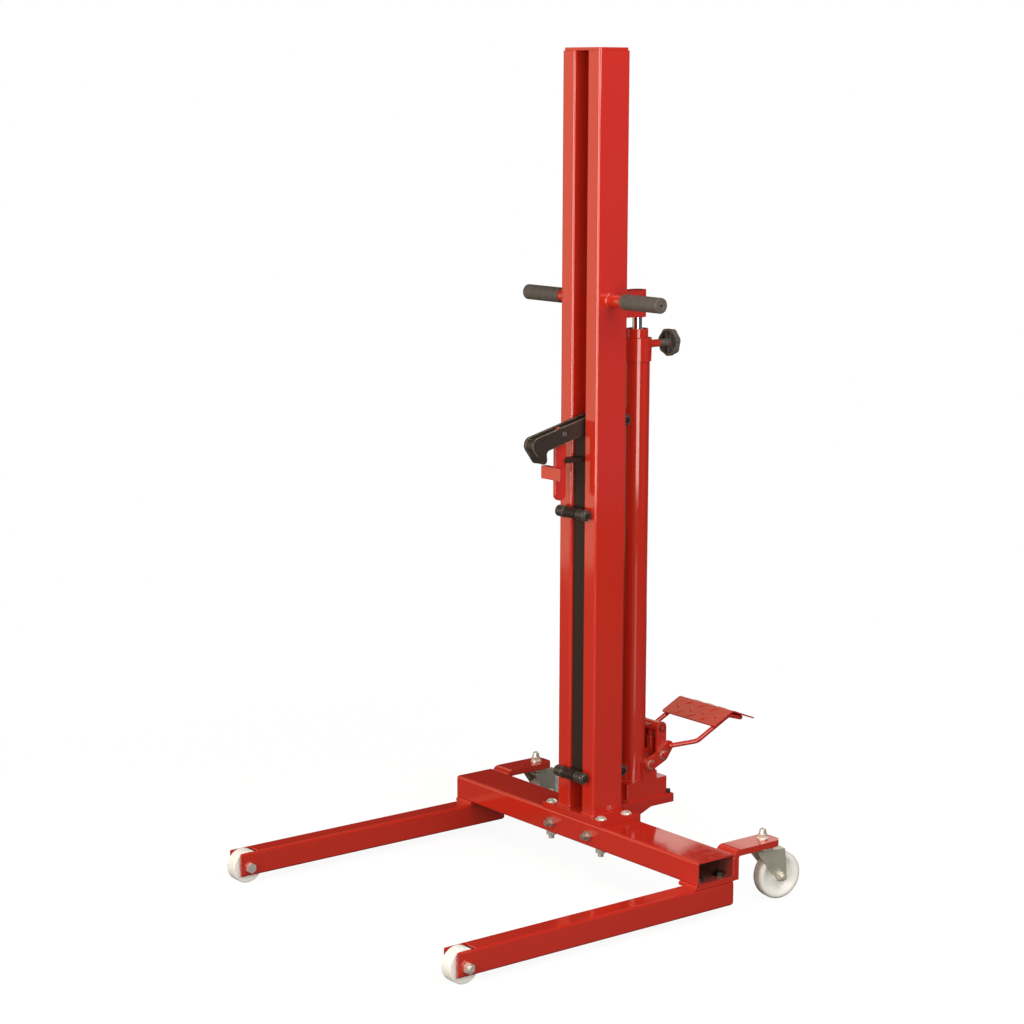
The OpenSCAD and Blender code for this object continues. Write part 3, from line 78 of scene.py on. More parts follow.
class Nodes:
    """A short way to write a material's nodes round one Principled shader."""

    def __init__(self, name):
        self.mat = bpy.data.materials.new(name)
        self.mat.use_nodes = True
        self.tree = self.mat.node_tree
        self.tree.nodes.clear()
        self.out = self.tree.nodes.new("ShaderNodeOutputMaterial")
        self.shader = self.tree.nodes.new("ShaderNodeBsdfPrincipled")
        self.tree.links.new(self.shader.outputs[0], self.out.inputs[0])

    def put(self, socket, v):
        """Links a socket or sets a value; a colour may leave out its alpha of 1."""
        if isinstance(v, bpy.types.NodeSocket):
            self.tree.links.new(v, socket)
        elif socket.type == "RGBA":
            socket.default_value = (v[0], v[1], v[2], 1.0)
        else:
            socket.default_value = v

    def add(self, kind, out=0, **values):
        """A new node's output. Values are its settings, or inputs by name or as i0, i1."""
        n = self.tree.nodes.new("ShaderNode" + kind)
        for k, v in values.items():
            if hasattr(n, k) and k not in n.inputs:
                setattr(n, k, v)
            else:
                key = int(k[1:]) if k[0] == "i" and k[1:].isdigit() else k
                self.put(n.inputs[key], v)
        return n.outputs[out]

    def set(self, **values):
        """Sets or links the shader's inputs, with _ for a space in their names."""
        for k, v in values.items():
            self.put(self.shader.inputs[k.replace("_", " ")], v)

    def math(self, op, a, b=0.0, clamp=False):
        return self.add("Math", operation=op, i0=a, i1=b, use_clamp=clamp)

    def times(self, a, b):
        return self.math("MULTIPLY", a, b)

    def vector(self, op, a, b, out=0):
        return self.add("VectorMath", out=out, operation=op, i0=a, i1=b)

    def length(self, v):
        return self.add("VectorMath", out="Value", operation="LENGTH", i0=v)

    def mix(self, f, a, b):
        n = self.tree.nodes.new("ShaderNodeMix")
        n.data_type = "RGBA"
        self.put(n.inputs["Factor"], f)
        self.put(n.inputs["A"], a)
        self.put(n.inputs["B"], b)
        return n.outputs["Result"]

    def ramp(self, f, low, high, start=0.0, end=1.0):
        """Maps f from low..high to start..end, held at the ends."""
        n = self.tree.nodes.new("ShaderNodeMapRange")
        self.put(n.inputs[0], f)
        for i, v in enumerate((low, high, start, end)):
            n.inputs[i + 1].default_value = v
        return n.outputs[0]

    def where(self):
        return self.tree.nodes.new("ShaderNodeTexCoord").outputs["Object"]

    def split(self):
        n = self.tree.nodes.new("ShaderNodeSeparateXYZ")
        self.put(n.inputs[0], self.where())
        return n.outputs[0], n.outputs[1], n.outputs[2]

    def noise(self, scale, detail, rough=0.5, stretch=None):
        v = self.where()
        if stretch:
            v = self.add("Mapping", Vector=v, Scale=stretch)
        return self.add("TexNoise", Vector=v, Scale=scale, Detail=detail, Roughness=rough)

    def patches(self, scale, detail, low, high, start=0.0, end=1.0, rough=0.5):
        """Noise, spread from low..high to start..end."""
        return self.ramp(self.noise(scale, detail, rough), low, high, start, end)

    def bump(self, height, strength, normal, distance=0.0002):
        n = self.tree.nodes.new("ShaderNodeBump")
        n.inputs["Strength"].default_value = strength
        n.inputs["Distance"].default_value = distance
        self.put(n.inputs["Height"], height)
        self.put(n.inputs["Normal"], normal)
        return n.outputs[0]

    def bevel(self, radius):
        n = self.tree.nodes.new("ShaderNodeBevel")
        n.samples = 6
        n.inputs["Radius"].default_value = radius
        return n.outputs[0]

    def edge(self, radius):
        """1 on sharp edges and 0 on flat faces."""
        flat = self.tree.nodes.new("ShaderNodeNewGeometry").outputs["Normal"]
        dot = self.vector("DOT_PRODUCT", self.bevel(radius), flat, out="Value")
        return self.ramp(self.math("SUBTRACT", 1.0, dot), 0.02, 0.25)

    def between(self, v, low, high, soft):
        """1 where low < v < high, with soft ends."""
        up = self.ramp(v, low - soft, low + soft)
        down = self.ramp(v, high - soft, high + soft, 1.0, 0.0)
        return self.times(up, down)


# the bore of the open cross beam, a little outside its walls' inner faces, and its mouths
BORE_Y = (Y0 + 0.0038, Y0 + 0.0942)
BORE_Z = (0.0763, 0.1187)
BORE_MOUTHS = (0.366, 0.396)
BARE_BROWN, BARE_LIGHT = (0.085, 0.048, 0.036), (0.14, 0.085, 0.062)


def bare_bore(m, col, gloss, red):
    """Inside the open beam: bare brown steel, with red overspray round its mouths."""
    x, y, z = m.split()
    bare = m.times(m.between(y, *BORE_Y, 0.0003), m.between(z, *BORE_Z, 0.0003))
    mouth = m.ramp(m.math("ABSOLUTE", x), *BORE_MOUTHS)
    spray = m.times(mouth, m.patches(scale=55.0, detail=4.0, low=0.35, high=0.62, rough=0.6))
    rust = m.patches(scale=70.0, detail=4.0, low=0.4, high=0.65)
    steel = m.mix(rust, BARE_BROWN, BARE_LIGHT)
    steel = m.mix(m.times(spray, 0.8), steel, red)
    return m.mix(bare, col, steel), m.math("ADD", gloss, m.times(bare, 0.3))


# the crosshead's pin, in the links' upper holes, and a dark ring of painted shadow round its two
# ends
PIN_Y, PIN_Z = 0.2997, 0.286
PIN_SHADE_IN, PIN_SHADE_OUT, PIN_SHADE_X = 0.0050, 0.0080, 0.0290
PIN_SHADE_DARK = (0.03, 0.02, 0.015)


# painted shadow: a dark ring round each end of the pin, where the links' holes fall in shade
def pin_end_shade_ring(m, col):
    x, y, z = m.split()
    arm = m.add("CombineXYZ", i1=m.math("SUBTRACT", y, PIN_Y), i2=m.math("SUBTRACT", z, PIN_Z))
    ring_at = m.between(m.length(arm), PIN_SHADE_IN, PIN_SHADE_OUT, 0.0004)
    end_at = m.ramp(m.math("ABSOLUTE", x), PIN_SHADE_X, PIN_SHADE_X + 0.0005, 0.0, 0.85)
    return m.mix(m.times(ring_at, end_at), col, PIN_SHADE_DARK)


# how paint chipping shows along edges, and on the black paint a painted highlight along them too:
# what shows, from which noise on, how much, how wide
FEW_CHIPS = {"colour": (0.06, 0.045, 0.04), "low": 0.62, "mix": 0.45, "width": 0.0009}
# light edges for the black paint: partly wear, partly a painted highlight along them
CHIPS_AND_EDGE_HIGHLIGHT = {"colour": (0.46, 0.40, 0.32), "low": 0.40, "mix": 0.9, "width": 0.0022}


def paint(name, colour, dark, rough, level=0.5, chips_and_edge_highlight=FEW_CHIPS, open_bore=False, pin=False):
    """Sprayed paint: clouds of a darker tone, orange peel, soft waves and chipping on edges; on the
    black paint the light edges are partly wear and partly a painted highlight.
    """
    m = Nodes(name)
    cloud = m.patches(scale=3.0, detail=4.0, low=0.35, high=0.65)
    col = m.mix(m.times(cloud, 0.4), colour, dark)
    chip_and_highlight_mask = m.times(m.edge(chips_and_edge_highlight["width"]), m.patches(
        scale=38.0, detail=5.0, low=chips_and_edge_highlight["low"], high=chips_and_edge_highlight["low"] + 0.08, rough=0.62))
    col = m.mix(m.times(chip_and_highlight_mask, chips_and_edge_highlight["mix"]), col, chips_and_edge_highlight["colour"])
    sheen = m.patches(scale=60.0, detail=4.0, low=0.3, high=0.7,
                      start=rough - 0.03, end=rough + 0.05, rough=0.6)
    gloss = m.math("ADD", sheen, m.times(chip_and_highlight_mask, 0.25))
    if open_bore:
        col, gloss = bare_bore(m, col, gloss, dark)
    # painted shadow round the pin's ends
    if pin:
        col = pin_end_shade_ring(m, col)
    peel = m.bump(m.noise(scale=420.0, detail=2.0), 0.08, m.bevel(0.0014))
    wave = m.bump(m.noise(scale=14.0, detail=1.0), 0.05, peel, distance=0.0005)
    m.set(Base_Color=col, Roughness=gloss, Normal=wave, Specular_IOR_Level=level, IOR=1.5)
    return m.mat


def metal(name, colour, dark, rough, grain=(1.0, 1.0, 1.0), spots=0.3, metallic=1.0, wear_and_highlight=None):
    """Metal with darker patches and fine lines; an optional bright colour goes on its edges, partly
    as wear and partly as a painted highlight.
    """
    m = Nodes(name)
    patch = m.patches(scale=45.0, detail=5.0, low=0.35, high=0.65, rough=0.6)
    col = m.mix(m.times(patch, spots), colour, dark)
    if wear_and_highlight:
        # bright edges: partly wear, partly a painted highlight on the rims
        rub_and_highlight = m.times(m.edge(0.0016), m.patches(
            scale=110.0, detail=4.0, low=0.32, high=0.55, start=0.75, end=1.0, rough=0.6))
        col = m.mix(rub_and_highlight, col, wear_and_highlight)
    lines = m.noise(scale=700.0, detail=2.0, stretch=grain)
    gloss = m.patches(scale=120.0, detail=4.0, low=0.3, high=0.7,
                      start=rough - 0.06, end=rough + 0.1)
    m.set(Base_Color=col, Roughness=gloss, Metallic=metallic,
          Normal=m.bump(lines, 0.12, m.bevel(0.0006)))
    return m.mat


NYLON_WHITE, NYLON_GRIME, WHEEL_TREAD_BROWN = (0.98, 0.985, 0.93), (0.62, 0.55, 0.42), (0.36, 0.25, 0.15)


def nylon(name, centre, axis, tread_r, tread_brown_share):
    """Turned nylon: fine rings about the wheel's own axle, and brown on the tread."""
    m = Nodes(name)
    arm = m.vector("SUBTRACT", m.where(), centre)
    along = m.vector("DOT_PRODUCT", arm, axis, out="Value")
    radius = m.length(m.vector("CROSS_PRODUCT", arm, axis))
    face_rings = m.math("SINE", m.times(radius, 5200.0))
    tread_rings = m.math("SINE", m.times(along, 3600.0))
    grime = m.patches(scale=90.0, detail=5.0, low=0.42, high=0.68, rough=0.65)
    col = m.mix(m.times(grime, 0.12), NYLON_WHITE, NYLON_GRIME)
    # brown on the tread, most in its middle
    on_tread = m.times(m.ramp(radius, tread_r - 0.0055, tread_r - 0.0008), m.patches(
        scale=48.0, detail=5.0, low=0.30, high=0.62, start=0.55, end=1.0, rough=0.6))
    col = m.mix(m.times(on_tread, tread_brown_share), col, WHEEL_TREAD_BROWN)
    height = m.math("ADD", m.times(face_rings, 0.5), m.times(tread_rings, 0.3))
    m.set(Base_Color=col, Roughness=m.ramp(grime, 0.0, 1.0, 0.36, 0.55),
          Normal=m.bump(height, 0.10, m.bevel(0.0012)), Subsurface_Weight=0.12,
          Subsurface_Radius=(0.012, 0.01, 0.007), Subsurface_Scale=0.35)
    return m.mat


# the grip's moulded rings, along X from the trolley's middle
RING_FIRST, RING_PITCH, RINGS_X = 0.107, 0.005, (0.1045, 0.1995)


def rubber(name, colour, rough, groove_shade=False):
    """Dusty rubber or plastic; for the grip, painted shade darkens each groove between its moulded
    rings.
    """
    m = Nodes(name)
    dust = m.patches(scale=55.0, detail=5.0, low=0.4, high=0.7, rough=0.6)
    dusty = tuple(min(1.0, 1.7 * v + 0.008) for v in colour)
    col = m.mix(m.times(dust, 0.35), colour, dusty)
    if groove_shade:
        # painted shade in each groove between the moulded rings
        x = m.math("ABSOLUTE", m.split()[0])
        wave = m.math("COSINE", m.times(m.math("SUBTRACT", x, RING_FIRST),
                                        math.tau / RING_PITCH))
        at = m.times(m.ramp(wave, 0.55, 0.9), m.between(x, *RINGS_X, 0.0005))
        col = m.mix(m.times(at, 0.7), col, tuple(0.35 * v for v in colour))
    m.set(Base_Color=col, Roughness=m.ramp(dust, 0.0, 1.0, rough, rough + 0.18),
          Normal=m.bump(m.noise(scale=900.0, detail=2.0), 0.3, m.bevel(0.0005)))
    return m.mat


BOLT_ZINC, BOLT_RED = (0.72, 0.66, 0.54), (0.46, 0.020, 0.012)


def painted_bolt(name, out_x):
    """Zinc washers under bolt heads, from out_x on, that were painted with the frame."""
    m = Nodes(name)
    x = m.math("ABSOLUTE", m.split()[0])
    head = m.ramp(x, out_x - 0.0002, out_x + 0.0002)
    smear = m.patches(scale=160.0, detail=4.0, low=0.56, high=0.64, end=0.8, rough=0.6)
    wear_and_highlight = m.times(m.edge(0.0009), m.patches(scale=150.0, detail=4.0, low=0.5, high=0.6, end=0.8))
    red = m.math("SUBTRACT", m.math("MAXIMUM", head, smear), wear_and_highlight, clamp=True)
    m.set(Base_Color=m.mix(red, BOLT_ZINC, BOLT_RED), Metallic=m.ramp(red, 0.0, 1.0, 0.9, 0.0),
          Roughness=m.ramp(red, 0.0, 1.0, 0.32, 0.22),
          Normal=m.bump(m.noise(scale=400.0, detail=2.0), 0.15, m.bevel(0.0008)))
    return m.mat


REDS = {"colour": (0.55, 0.024, 0.010), "dark": (0.50, 0.020, 0.009), "rough": 0.085, "level": 1.0}
RED = paint("red_powder_coat", **REDS)
RED_PIN = paint("red_pin_painted_shade", pin=True, **REDS)
RED_TUBE = paint("red_open_tube", open_bore=True, **REDS)
BLACK = paint("black_satin_paint", (0.030, 0.022, 0.017), (0.050, 0.036, 0.028), 0.36,
              chips_and_edge_highlight=CHIPS_AND_EDGE_HIGHLIGHT)
# a darker, duller copy of the black paint for the slider and jaw guide: its darker colour is
# painted shade from the mast's slot
RAIL = paint("slide_black", (0.024, 0.014, 0.010), (0.036, 0.022, 0.016), 0.45, level=0.3)
ZINC = metal("zinc_plate", (0.88, 0.85, 0.76), (0.70, 0.64, 0.54), 0.26, metallic=0.65)
FORK = metal("zinc_fork", (0.76, 0.75, 0.62), (0.56, 0.55, 0.45), 0.40, spots=0.5, metallic=0.7)
DARK = metal("oiled_steel", (0.10, 0.10, 0.105), (0.05, 0.045, 0.04), 0.36)
CHROME = metal("chromed_ram", (0.82, 0.82, 0.80), (0.70, 0.70, 0.68), 0.17,
               grain=(1.0, 1.0, 0.05), spots=0.1)
# the guide rollers' bright rims are partly wear and partly a painted highlight
GUIDE = metal("guide_roller_steel", (0.11, 0.10, 0.09), (0.06, 0.052, 0.046), 0.34,
              metallic=0.7, wear_and_highlight=(0.60, 0.56, 0.48))
SCREW = metal("roller_screw_steel", (0.045, 0.040, 0.035), (0.025, 0.020, 0.016), 0.40,
              metallic=0.6)
NUTS = metal("dull_zinc_nuts", (0.60, 0.56, 0.47), (0.40, 0.36, 0.29), 0.32, metallic=0.85)
BOLT_END = metal("jaw_bolt_steel", (0.46, 0.42, 0.37), (0.26, 0.22, 0.18), 0.36)
KNOB = rubber("moulded_knob", (0.098, 0.085, 0.072), 0.36)
GRIP = rubber("grip_rubber", (0.095, 0.078, 0.064), 0.55, groove_shade=True)

# the wheels' middles, radii and share of brown on the tread; the castors are parked turned, as in
# the photo
ROLLER_X, ROLLER_Y, ROLLER_R, ROLLER_TREAD_BROWN = 0.3715, -0.567, 0.034, 0.12
CASTOR_X, CASTOR_Y, CASTOR_R, CASTOR_TREAD_BROWN = 0.367, 0.201, 0.0495, 0.55
CASTOR_TRAIL, CASTOR_TURN = 0.035, math.radians(11)


def wheel_materials():
    sin, cos = math.sin(CASTOR_TURN), math.cos(CASTOR_TURN)
    for side, s in (("left", -1), ("right", 1)):
        roller = "front_roller_" + side
        yield roller, nylon("nylon_" + roller, (s * ROLLER_X, ROLLER_Y + Y0, ROLLER_R),
                            (1, 0, 0), ROLLER_R, ROLLER_TREAD_BROWN)
        wheel = "castor_wheel_" + side
        middle = (s * (CASTOR_X + CASTOR_TRAIL * sin), CASTOR_Y + Y0 + CASTOR_TRAIL * cos, CASTOR_R)
        yield wheel, nylon("nylon_" + wheel, middle, (cos, -s * sin, 0), CASTOR_R, CASTOR_TREAD_BROWN)


def dress(o, mat):
    o.data.materials.clear()
    o.data.materials.append(mat)


SLOT_MATERIALS = {
    "red_paint": RED, "black_paint": BLACK, "zinc_plate": ZINC, "dark_steel": DARK,
    "chrome": CHROME, "black_plastic": KNOB, "grip_rubber": GRIP,
}
NODE_MATERIALS = {
    "cross_beam": RED_TUBE, "crosshead": RED_PIN, "leg_bolts": DARK, "cross_bolts": NUTS,
    "jaw_bolt": BOLT_END, "slider": RAIL, "jaw_guide": RAIL,
    "castor_fork_left": FORK, "castor_fork_right": FORK,
    "front_rollers_upper": GUIDE, "front_rollers_lower": GUIDE,
    "rear_rollers_upper": GUIDE, "rear_rollers_lower": GUIDE,
    "pivot_bolts": painted_bolt("painted_pivot_bolts", 0.0421),
    "link_bolts": painted_bolt("painted_link_bolts", 0.0418),
    **dict(wheel_materials()),
}
slots = {s["node"]: s["material_slot"] for s in frame["record"]["subparts"]}
for name, o in nodes.items():
    dress(o, NODE_MATERIALS[name] if name in NODE_MATERIALS else SLOT_MATERIALS[slots[name]])


# ---- small pieces, given in mm from the source's origin ----

def P(x, y, z):
    """A point in mm from the source's origin, as a point of the frame."""
    return Vector((x / 1000, y / 1000 + Y0, z / 1000))


def add_piece(name, bm, body, mat, smooth=True):
    mesh = bpy.data.meshes.new(name)
    bmesh.ops.recalc_face_normals(bm, faces=bm.faces)
    bm.to_mesh(mesh)
    bm.free()
    for f in mesh.polygons:
        f.use_smooth = smooth
    o = bpy.data.objects.new(name, mesh)
    scene.collection.objects.link(o)
    dress(o, mat)
    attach(o, body)


def join_loops(bm, a, b):
    """Quads between two loops of vertices."""
    n = len(a)
    for k in range(n):
        bm.faces.new((a[k], a[(k + 1) % n], b[(k + 1) % n], b[k]))


def cap_loops(bm, loops):
    bm.faces.new(loops[0])
    bm.faces.new(loops[-1])


BEAD_SIDES, BEAD_STEP = 10, 0.9
BEAD_END = 0.45  # how much of its radius is left at an open bead's ends


def ripple(p, s, seed):
    """The uneven width of a weld bead, at point p and s mm along it."""
    return math.sin(s * 2.3 + seed) * 0.6 + 1.1 * noise.noise(p * 0.21 + Vector((seed, 0, 0)))


def bead(bm, pts, radius, wobble, seed, closed=False):
    """Sweeps a circle along points in mm, with the ripples of a weld bead."""
    n = len(pts)
    turns = [k * math.tau / BEAD_SIDES for k in range(BEAD_SIDES)]
    loops = []
    s = 0.0
    for i, p in enumerate(pts):
        a = pts[(i - 1) % n] if closed or i else p
        b = pts[(i + 1) % n] if closed or i < n - 1 else p
        t = (b - a).normalized()
        ref = Vector((0, 0, 1)) if abs(t.z) < 0.9 else Vector((1, 0, 0))
        u = t.cross(ref).normalized()
        v = t.cross(u)
        if i:
            s += (p - pts[i - 1]).length
        r = radius * (1 + wobble * ripple(p, s, seed))
        if not closed and i in (0, n - 1):
            r *= BEAD_END
        loops.append([bm.verts.new(P(*(p + r * (math.cos(q) * u + math.sin(q) * v))))
                      for q in turns])
    for a, b in zip(loops, loops[1:]):
        join_loops(bm, a, b)
    if closed:
        join_loops(bm, loops[-1], loops[0])
    else:
        cap_loops(bm, loops)


def line(a, b):
    a, b = Vector(a), Vector(b)
    n = max(2, int((b - a).length / BEAD_STEP))
    return [a.lerp(b, i / n) for i in range(n + 1)]


def ring(centre, axis, radius):
    axis = Vector(axis).normalized()
    u = axis.orthogonal().normalized()
    v = axis.cross(u)
    n = int(radius * math.tau / BEAD_STEP)
    turns = [math.tau * i / n for i in range(n)]
    return [Vector(centre) + radius * (math.cos(q) * u + math.sin(q) * v) for q in turns]


def weld_set(name, body, radius, lines=(), rings=()):
    """Beads of one radius along lines (a, b) and rings (centre, axis, ring radius)."""
    bm = bmesh.new()
    for k, (a, b) in enumerate(lines):
        bead(bm, line(a, b), radius, wobble=0.16, seed=k * 3.7)
    for k, (centre, axis, ring_r) in enumerate(rings):
        bead(bm, ring(centre, axis, ring_r), radius, wobble=0.14, seed=k * 5.1 + 1, closed=True)
    add_piece(name, bm, body, RED)


# faces that the beads run along, in mm
FOOT_TOP = 134.5  # the mast foot's and the pump bracket's top
BLOCK_FOOT = 139.5  # where the pump block stands on its bracket
POST_IN, POST_OUT, POST_FRONT, POST_BACK = 20.5, 58, 12, 92
BRACKET_X = 40  # half the pump bracket's width
HANDLE_Y, HANDLE_Z, HANDLE_R = 48, 1202, 14.3
CYLINDER_Y, CYLINDER_FOOT, CYLINDER_R = 168, 178, 27.6


def welds():
    weld_set("welds_mast_foot", "chassis", 2.6,
             [((s * POST_IN, POST_FRONT, FOOT_TOP), (s * 57.5, POST_FRONT, FOOT_TOP))
              for s in BOTH]
             + [((s * POST_OUT, 12.5, FOOT_TOP), (s * POST_OUT, 91.5, FOOT_TOP)) for s in BOTH]
             + [((s * 42, POST_BACK, FOOT_TOP), (s * 57.5, POST_BACK, FOOT_TOP)) for s in BOTH])
    weld_set("welds_pump_bracket", "chassis", 1.9,
             [((s * BRACKET_X, 94, FOOT_TOP), (s * BRACKET_X, 108, FOOT_TOP)) for s in BOTH]
             + [((s * BRACKET_X, 110, 96), (s * BRACKET_X, 110, 128)) for s in BOTH]
             + [((s * 34, 130, BLOCK_FOOT), (s * 34, 234, BLOCK_FOOT)) for s in BOTH]
             + [((-30, y, BLOCK_FOOT), (30, y, BLOCK_FOOT)) for y in (238, 126)])
    weld_set("welds_brackets", "chassis", 2.3,
             [((s * x, 98, 74), (s * x, 98, 114)) for s in BOTH for x in (340, 393.5)])
    weld_set("welds_pads", "chassis", 2.4,
             [((s * 343, -0.4, 73), (s * 393, -0.4, 73)) for s in BOTH])
    weld_set("welds_handles", "chassis", 3.2,
             rings=[((s * POST_OUT, HANDLE_Y, HANDLE_Z), (1, 0, 0), HANDLE_R) for s in BOTH])
    weld_set("welds_cylinder", "chassis", 1.6,
             rings=[((0, CYLINDER_Y, CYLINDER_FOOT), (0, 0, 1), CYLINDER_R)])
    weld_set("welds_ram_arm", "carriage", 1.5,
             [((s * 18.4, 88, 1167), (s * 18.4, 88, 1208)) for s in BOTH])
    weld_set("welds_jaw", "jaw", 1.8,
             [((s * 4, -50, 841), (s * 4, -50, 865)) for s in BOTH])


SCREW_R, SCREW_HIGH, SCREW_SINK = 6.0, 3.2, 0.4
SCREW_X = 46  # the guide rollers' outer end
GUIDE_SHAFTS = {  # Y and Z of each pair of guide rollers
    "front_upper": (-0.3, 766), "front_lower": (-0.3, 214),
    "rear_upper": (104.3, 954), "rear_lower": (104.3, 214),
}


def hex_head(bm, side, y, z):
    """A low hex head with a chamfer, on the roller's end at this side."""
    profile = ((-SCREW_SINK, SCREW_R), (0.75 * SCREW_HIGH, SCREW_R),
               (0.93 * SCREW_HIGH, 0.93 * SCREW_R), (SCREW_HIGH, 0.84 * SCREW_R))
    turns = [k * math.tau / 6 for k in range(6)]
    loops = [[bm.verts.new(P(side * SCREW_X + side * x, y + r * math.cos(q), z + r * math.sin(q)))
              for q in turns] for x, r in profile]
    for a, b in zip(loops, loops[1:]):
        join_loops(bm, a, b)
    cap_loops(bm, loops)


def roller_screws():
    for place, (y, z) in GUIDE_SHAFTS.items():
        bm = bmesh.new()
        for side in BOTH:
            hex_head(bm, side, y, z)
        add_piece("roller_screws_" + place, bm, "guide_" + place, SCREW,
                  smooth=False)


RIB_HALF = 4
RIB_OUTLINE = ((188, 176), (214, 176), (214, 231), (212.5, 235), (209, 237.5), (188, 243))


def pump_rib():
    """Cast rib between the cylinder tube and the pump barrel, on the block."""
    bm = bmesh.new()
    sides = [[bm.verts.new(P(x, y, z)) for y, z in RIB_OUTLINE] for x in (-RIB_HALF, RIB_HALF)]
    join_loops(bm, *sides)
    cap_loops(bm, sides)
    bmesh.ops.bevel(bm, geom=bm.edges[:], offset=0.0008, segments=2, affect="EDGES")
    add_piece("pump_rib", bm, "chassis", RED, smooth=False)


# the tread plate's two slopes, in mm, and the rows of bars as shares of each slope's length
TREAD_FRONT, TREAD_RIDGE, TREAD_HEEL = (0, 326, 282), (0, 379, 307.5), (0, 443, 282.5)
TREAD_SLOPES = ((TREAD_FRONT, TREAD_RIDGE, (0.19, 0.49, 0.79)),
                (TREAD_RIDGE, TREAD_HEEL, (0.2, 0.5, 0.8)))
BAR_PITCH, BAR_LAST_X, BAR_TURNS = 19.4, 74, (42, -40)
BAR_HALF_LENGTH, BAR_HALF_WIDTH, BAR_HIGH = 12.5, 2.6, 1.2
TREAD_HALF_THICK, BAR_SINK = 1.5, 0.15
BAR_ALONG, BAR_ACROSS = 6, 3  # half the faces along and across a bar


def tread_bar(bm, mid, along, across, up):
    """One lens-shaped bar with a rounded top."""
    grid = []
    for a in range(2 * BAR_ALONG + 1):
        u = a / BAR_ALONG - 1
        width = BAR_HALF_WIDTH * (1 - u * u) ** 0.75
        row = []
        for b in range(2 * BAR_ACROSS + 1):
            v = b / BAR_ACROSS - 1
            rise = BAR_HIGH * (1 - u ** 4) * (1 - v * v) ** 0.6 if abs(v) < 1 else 0.0
            q = mid + along * (u * BAR_HALF_LENGTH) + across * (v * width) + up * (rise - BAR_SINK)
            row.append(bm.verts.new(P(*q)))
        grid.append(row)
    for near, far in zip(grid, grid[1:]):
        for b in range(2 * BAR_ACROSS):
            bm.faces.new((near[b], far[b], far[b + 1], near[b + 1]))


def tread_bars():
    """Raised bars of chequer plate on both slopes of the tread."""
    bm = bmesh.new()
    side = Vector((1, 0, 0))
    for start, end, rows in TREAD_SLOPES:
        start, end = Vector(start), Vector(end)
        run = (end - start).normalized()
        up = side.cross(run).normalized()
        length = (end - start).length
        for j, share in enumerate(rows):
            turn = math.radians(BAR_TURNS[j % 2])
            along = math.cos(turn) * side + math.sin(turn) * run
            for i in range(-3, 4):
                x = (i * 2 + (j % 2)) * BAR_PITCH
                if abs(x) <= BAR_LAST_X:
                    mid = start + run * (length * share) + Vector((x, 0, 0)) + up * TREAD_HALF_THICK
                    tread_bar(bm, mid, along, up.cross(along), up)
    bmesh.ops.remove_doubles(bm, verts=bm.verts, dist=1e-6)
    add_piece("tread_bars", bm, "pedal", RED)


welds()
roller_screws()
pump_rib()
tread_bars()


# ---- studio ----

WARM, AMBER = (1.0, 0.92, 0.82), (1.0, 0.80, 0.54)
LAMPS = (  # name, place, aim, width and height, power, colour
    # mirrored by the faces towards the drum
    ("left_box", (-2.5, -2.0, 1.15), (0, 0, 0.95), (1.7, 2.3), 11.5, AMBER),
    # from the upper right, for the mast's side
    ("high_box", (1.9, 0.2, 2.4), (0.1, 0, 1.7), (1.7, 1.7), 33, (1.0, 0.94, 0.94)),
    # the main light, from the front
    ("front_box", (0.7, -4.0, 1.52), (0, 0, 1.1), (3.8, 3.0), 150, (1.0, 0.96, 0.90)),
    ("top_box", (0.3, -1.2, 3.6), (0, 0, 0.4), (1.8, 1.8), 14, WARM),
    # the right side of the mast and the cylinder
    ("strip_box", (2.27, -0.81, 1.05), (0, 0.2, 1.7), (1.1, 1.3), 20.5, WARM),
    ("foot_box", (0.98, -0.2, 0.26), (0, 0.2, 0.3), (0.3, 0.4), 0.3, WARM),
    # low behind, mirrored by the beam's top
    ("low_box", (-1.14, 2.06, 0.62), (-0.37, 1.44, 0.62), (1.4, 1.1), 5, WARM),
    # mirrored by the tread plate
    ("tread_box", (-2.67, 1.24, 2.3), (0, 0.4, 0.3), (1.5, 1.5), 4.5, AMBER),
    # cool and warm fill from behind
    ("far_box", (3.1, 2.5, 1.15), (0, 0.1, 1.15), (2.6, 2.1), 2.4, (0.35, 0.5, 1.0)),
    ("back_box", (-1.0, 3.6, 2.2), (0, 0, 0.9), (2.4, 2.4), 24, WARM),
)
# the world's and the floor's light: on the object, in mirrors, and to the camera as white
WORLD, WORLD_MIRROR = 0.23, 0.03
FLOOR_GLOW, FLOOR_MIRROR = 0.91, 0.01
WHITE = 1.0
FLOOR = 0.12  # the floor's own grey, which takes the shadow
FLOOR_HALF, SHADOW_IN, SHADOW_OUT = 30.0, 0.75, 1.7


def area(name, place, aim, size, power, colour):
    data = bpy.data.lights.new(name, "AREA")
    data.shape, data.size, data.size_y = "RECTANGLE", size[0], size[1]
    data.energy, data.color = power, colour
    o = bpy.data.objects.new(name, data)
    scene.collection.objects.link(o)
    o.location = place
    o.rotation_mode = "QUATERNION"
    o.rotation_quaternion = (Vector(aim) - Vector(place)).to_track_quat("-Z", "Y")


def rays(tree):
    """Light Path: camera rays, and glossy or see-through rays."""
    path = tree.nodes.new("ShaderNodeLightPath")
    mirror = tree.nodes.new("ShaderNodeMath")
    mirror.operation = "MAXIMUM"
    tree.links.new(path.outputs["Is Glossy Ray"], mirror.inputs[0])
    tree.links.new(path.outputs["Is Transmission Ray"], mirror.inputs[1])
    return path.outputs["Is Camera Ray"], mirror.outputs[0]


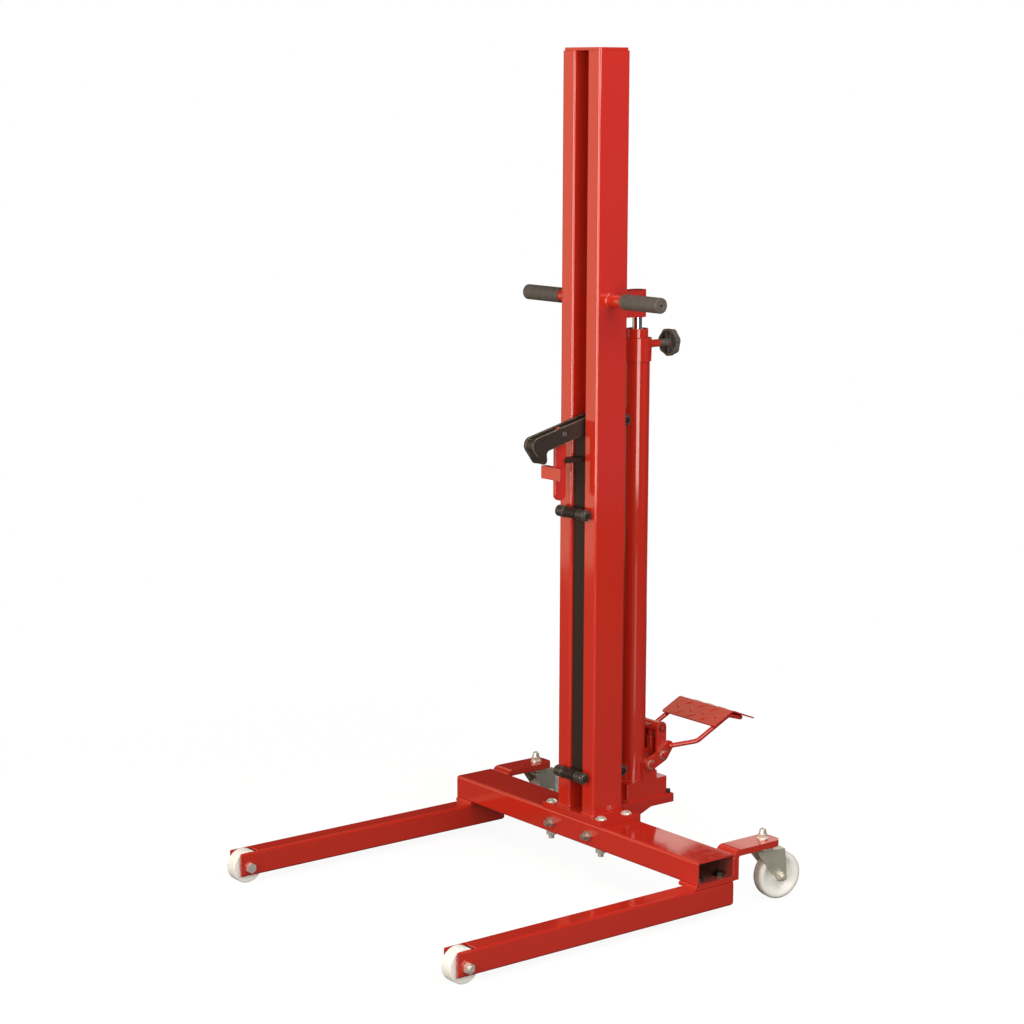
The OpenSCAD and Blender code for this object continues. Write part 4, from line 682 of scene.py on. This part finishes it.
def choose(tree, factor, a, b):
    mix = tree.nodes.new("ShaderNodeMixShader")
    tree.links.new(factor, mix.inputs[0])
    tree.links.new(a, mix.inputs[1])
    tree.links.new(b, mix.inputs[2])
    return mix.outputs[0]


def glow(tree, kind, strength):
    """White light from a Background or Emission node."""
    n = tree.nodes.new("ShaderNode" + kind)
    n.inputs[0].default_value, n.inputs[1].default_value = (1, 1, 1, 1), strength
    return n.outputs[0]


def sky():
    world = bpy.data.worlds.new("studio")
    scene.world = world
    world.use_nodes = True
    tree = world.node_tree
    tree.nodes.clear()
    out = tree.nodes.new("ShaderNodeOutputWorld")
    light, mirrored, white = (glow(tree, "Background", s) for s in (WORLD, WORLD_MIRROR, WHITE))
    seen, mirror = rays(tree)
    tree.links.new(choose(tree, seen, choose(tree, mirror, light, mirrored), white), out.inputs[0])


def floor():
    """A pale floor that is plain white to the camera beyond the shadow."""
    mesh = bpy.data.meshes.new("floor")
    s = FLOOR_HALF
    mesh.from_pydata([(-s, -s, 0), (s, -s, 0), (s, s, 0), (-s, s, 0)], [], [(0, 1, 2, 3)])
    o = bpy.data.objects.new("floor", mesh)
    scene.collection.objects.link(o)
    m = Nodes("floor_white")
    speck = m.times(m.noise(scale=2.0, detail=2.0), 0.1)
    m.set(Base_Color=m.mix(speck, (FLOOR,) * 3, (FLOOR * 0.96,) * 3), Roughness=0.85,
          Specular_IOR_Level=0.1)
    away = m.length(m.vector("MULTIPLY", m.where(), (1, 1, 0)))
    far = m.ramp(away, SHADOW_IN, SHADOW_OUT)
    lit = []
    for strength in (FLOOR_GLOW, FLOOR_MIRROR):
        add = m.tree.nodes.new("ShaderNodeAddShader")
        m.tree.links.new(m.shader.outputs[0], add.inputs[0])
        m.tree.links.new(glow(m.tree, "Emission", strength), add.inputs[1])
        lit.append(add.outputs[0])
    seen, mirror = rays(m.tree)
    to_camera = choose(m.tree, far, lit[0], glow(m.tree, "Emission", WHITE))
    other = choose(m.tree, mirror, m.shader.outputs[0], lit[1])
    m.tree.links.new(choose(m.tree, seen, other, to_camera), m.out.inputs[0])
    dress(o, m.mat)


for lamp in LAMPS:
    area(*lamp)
sky()
floor()
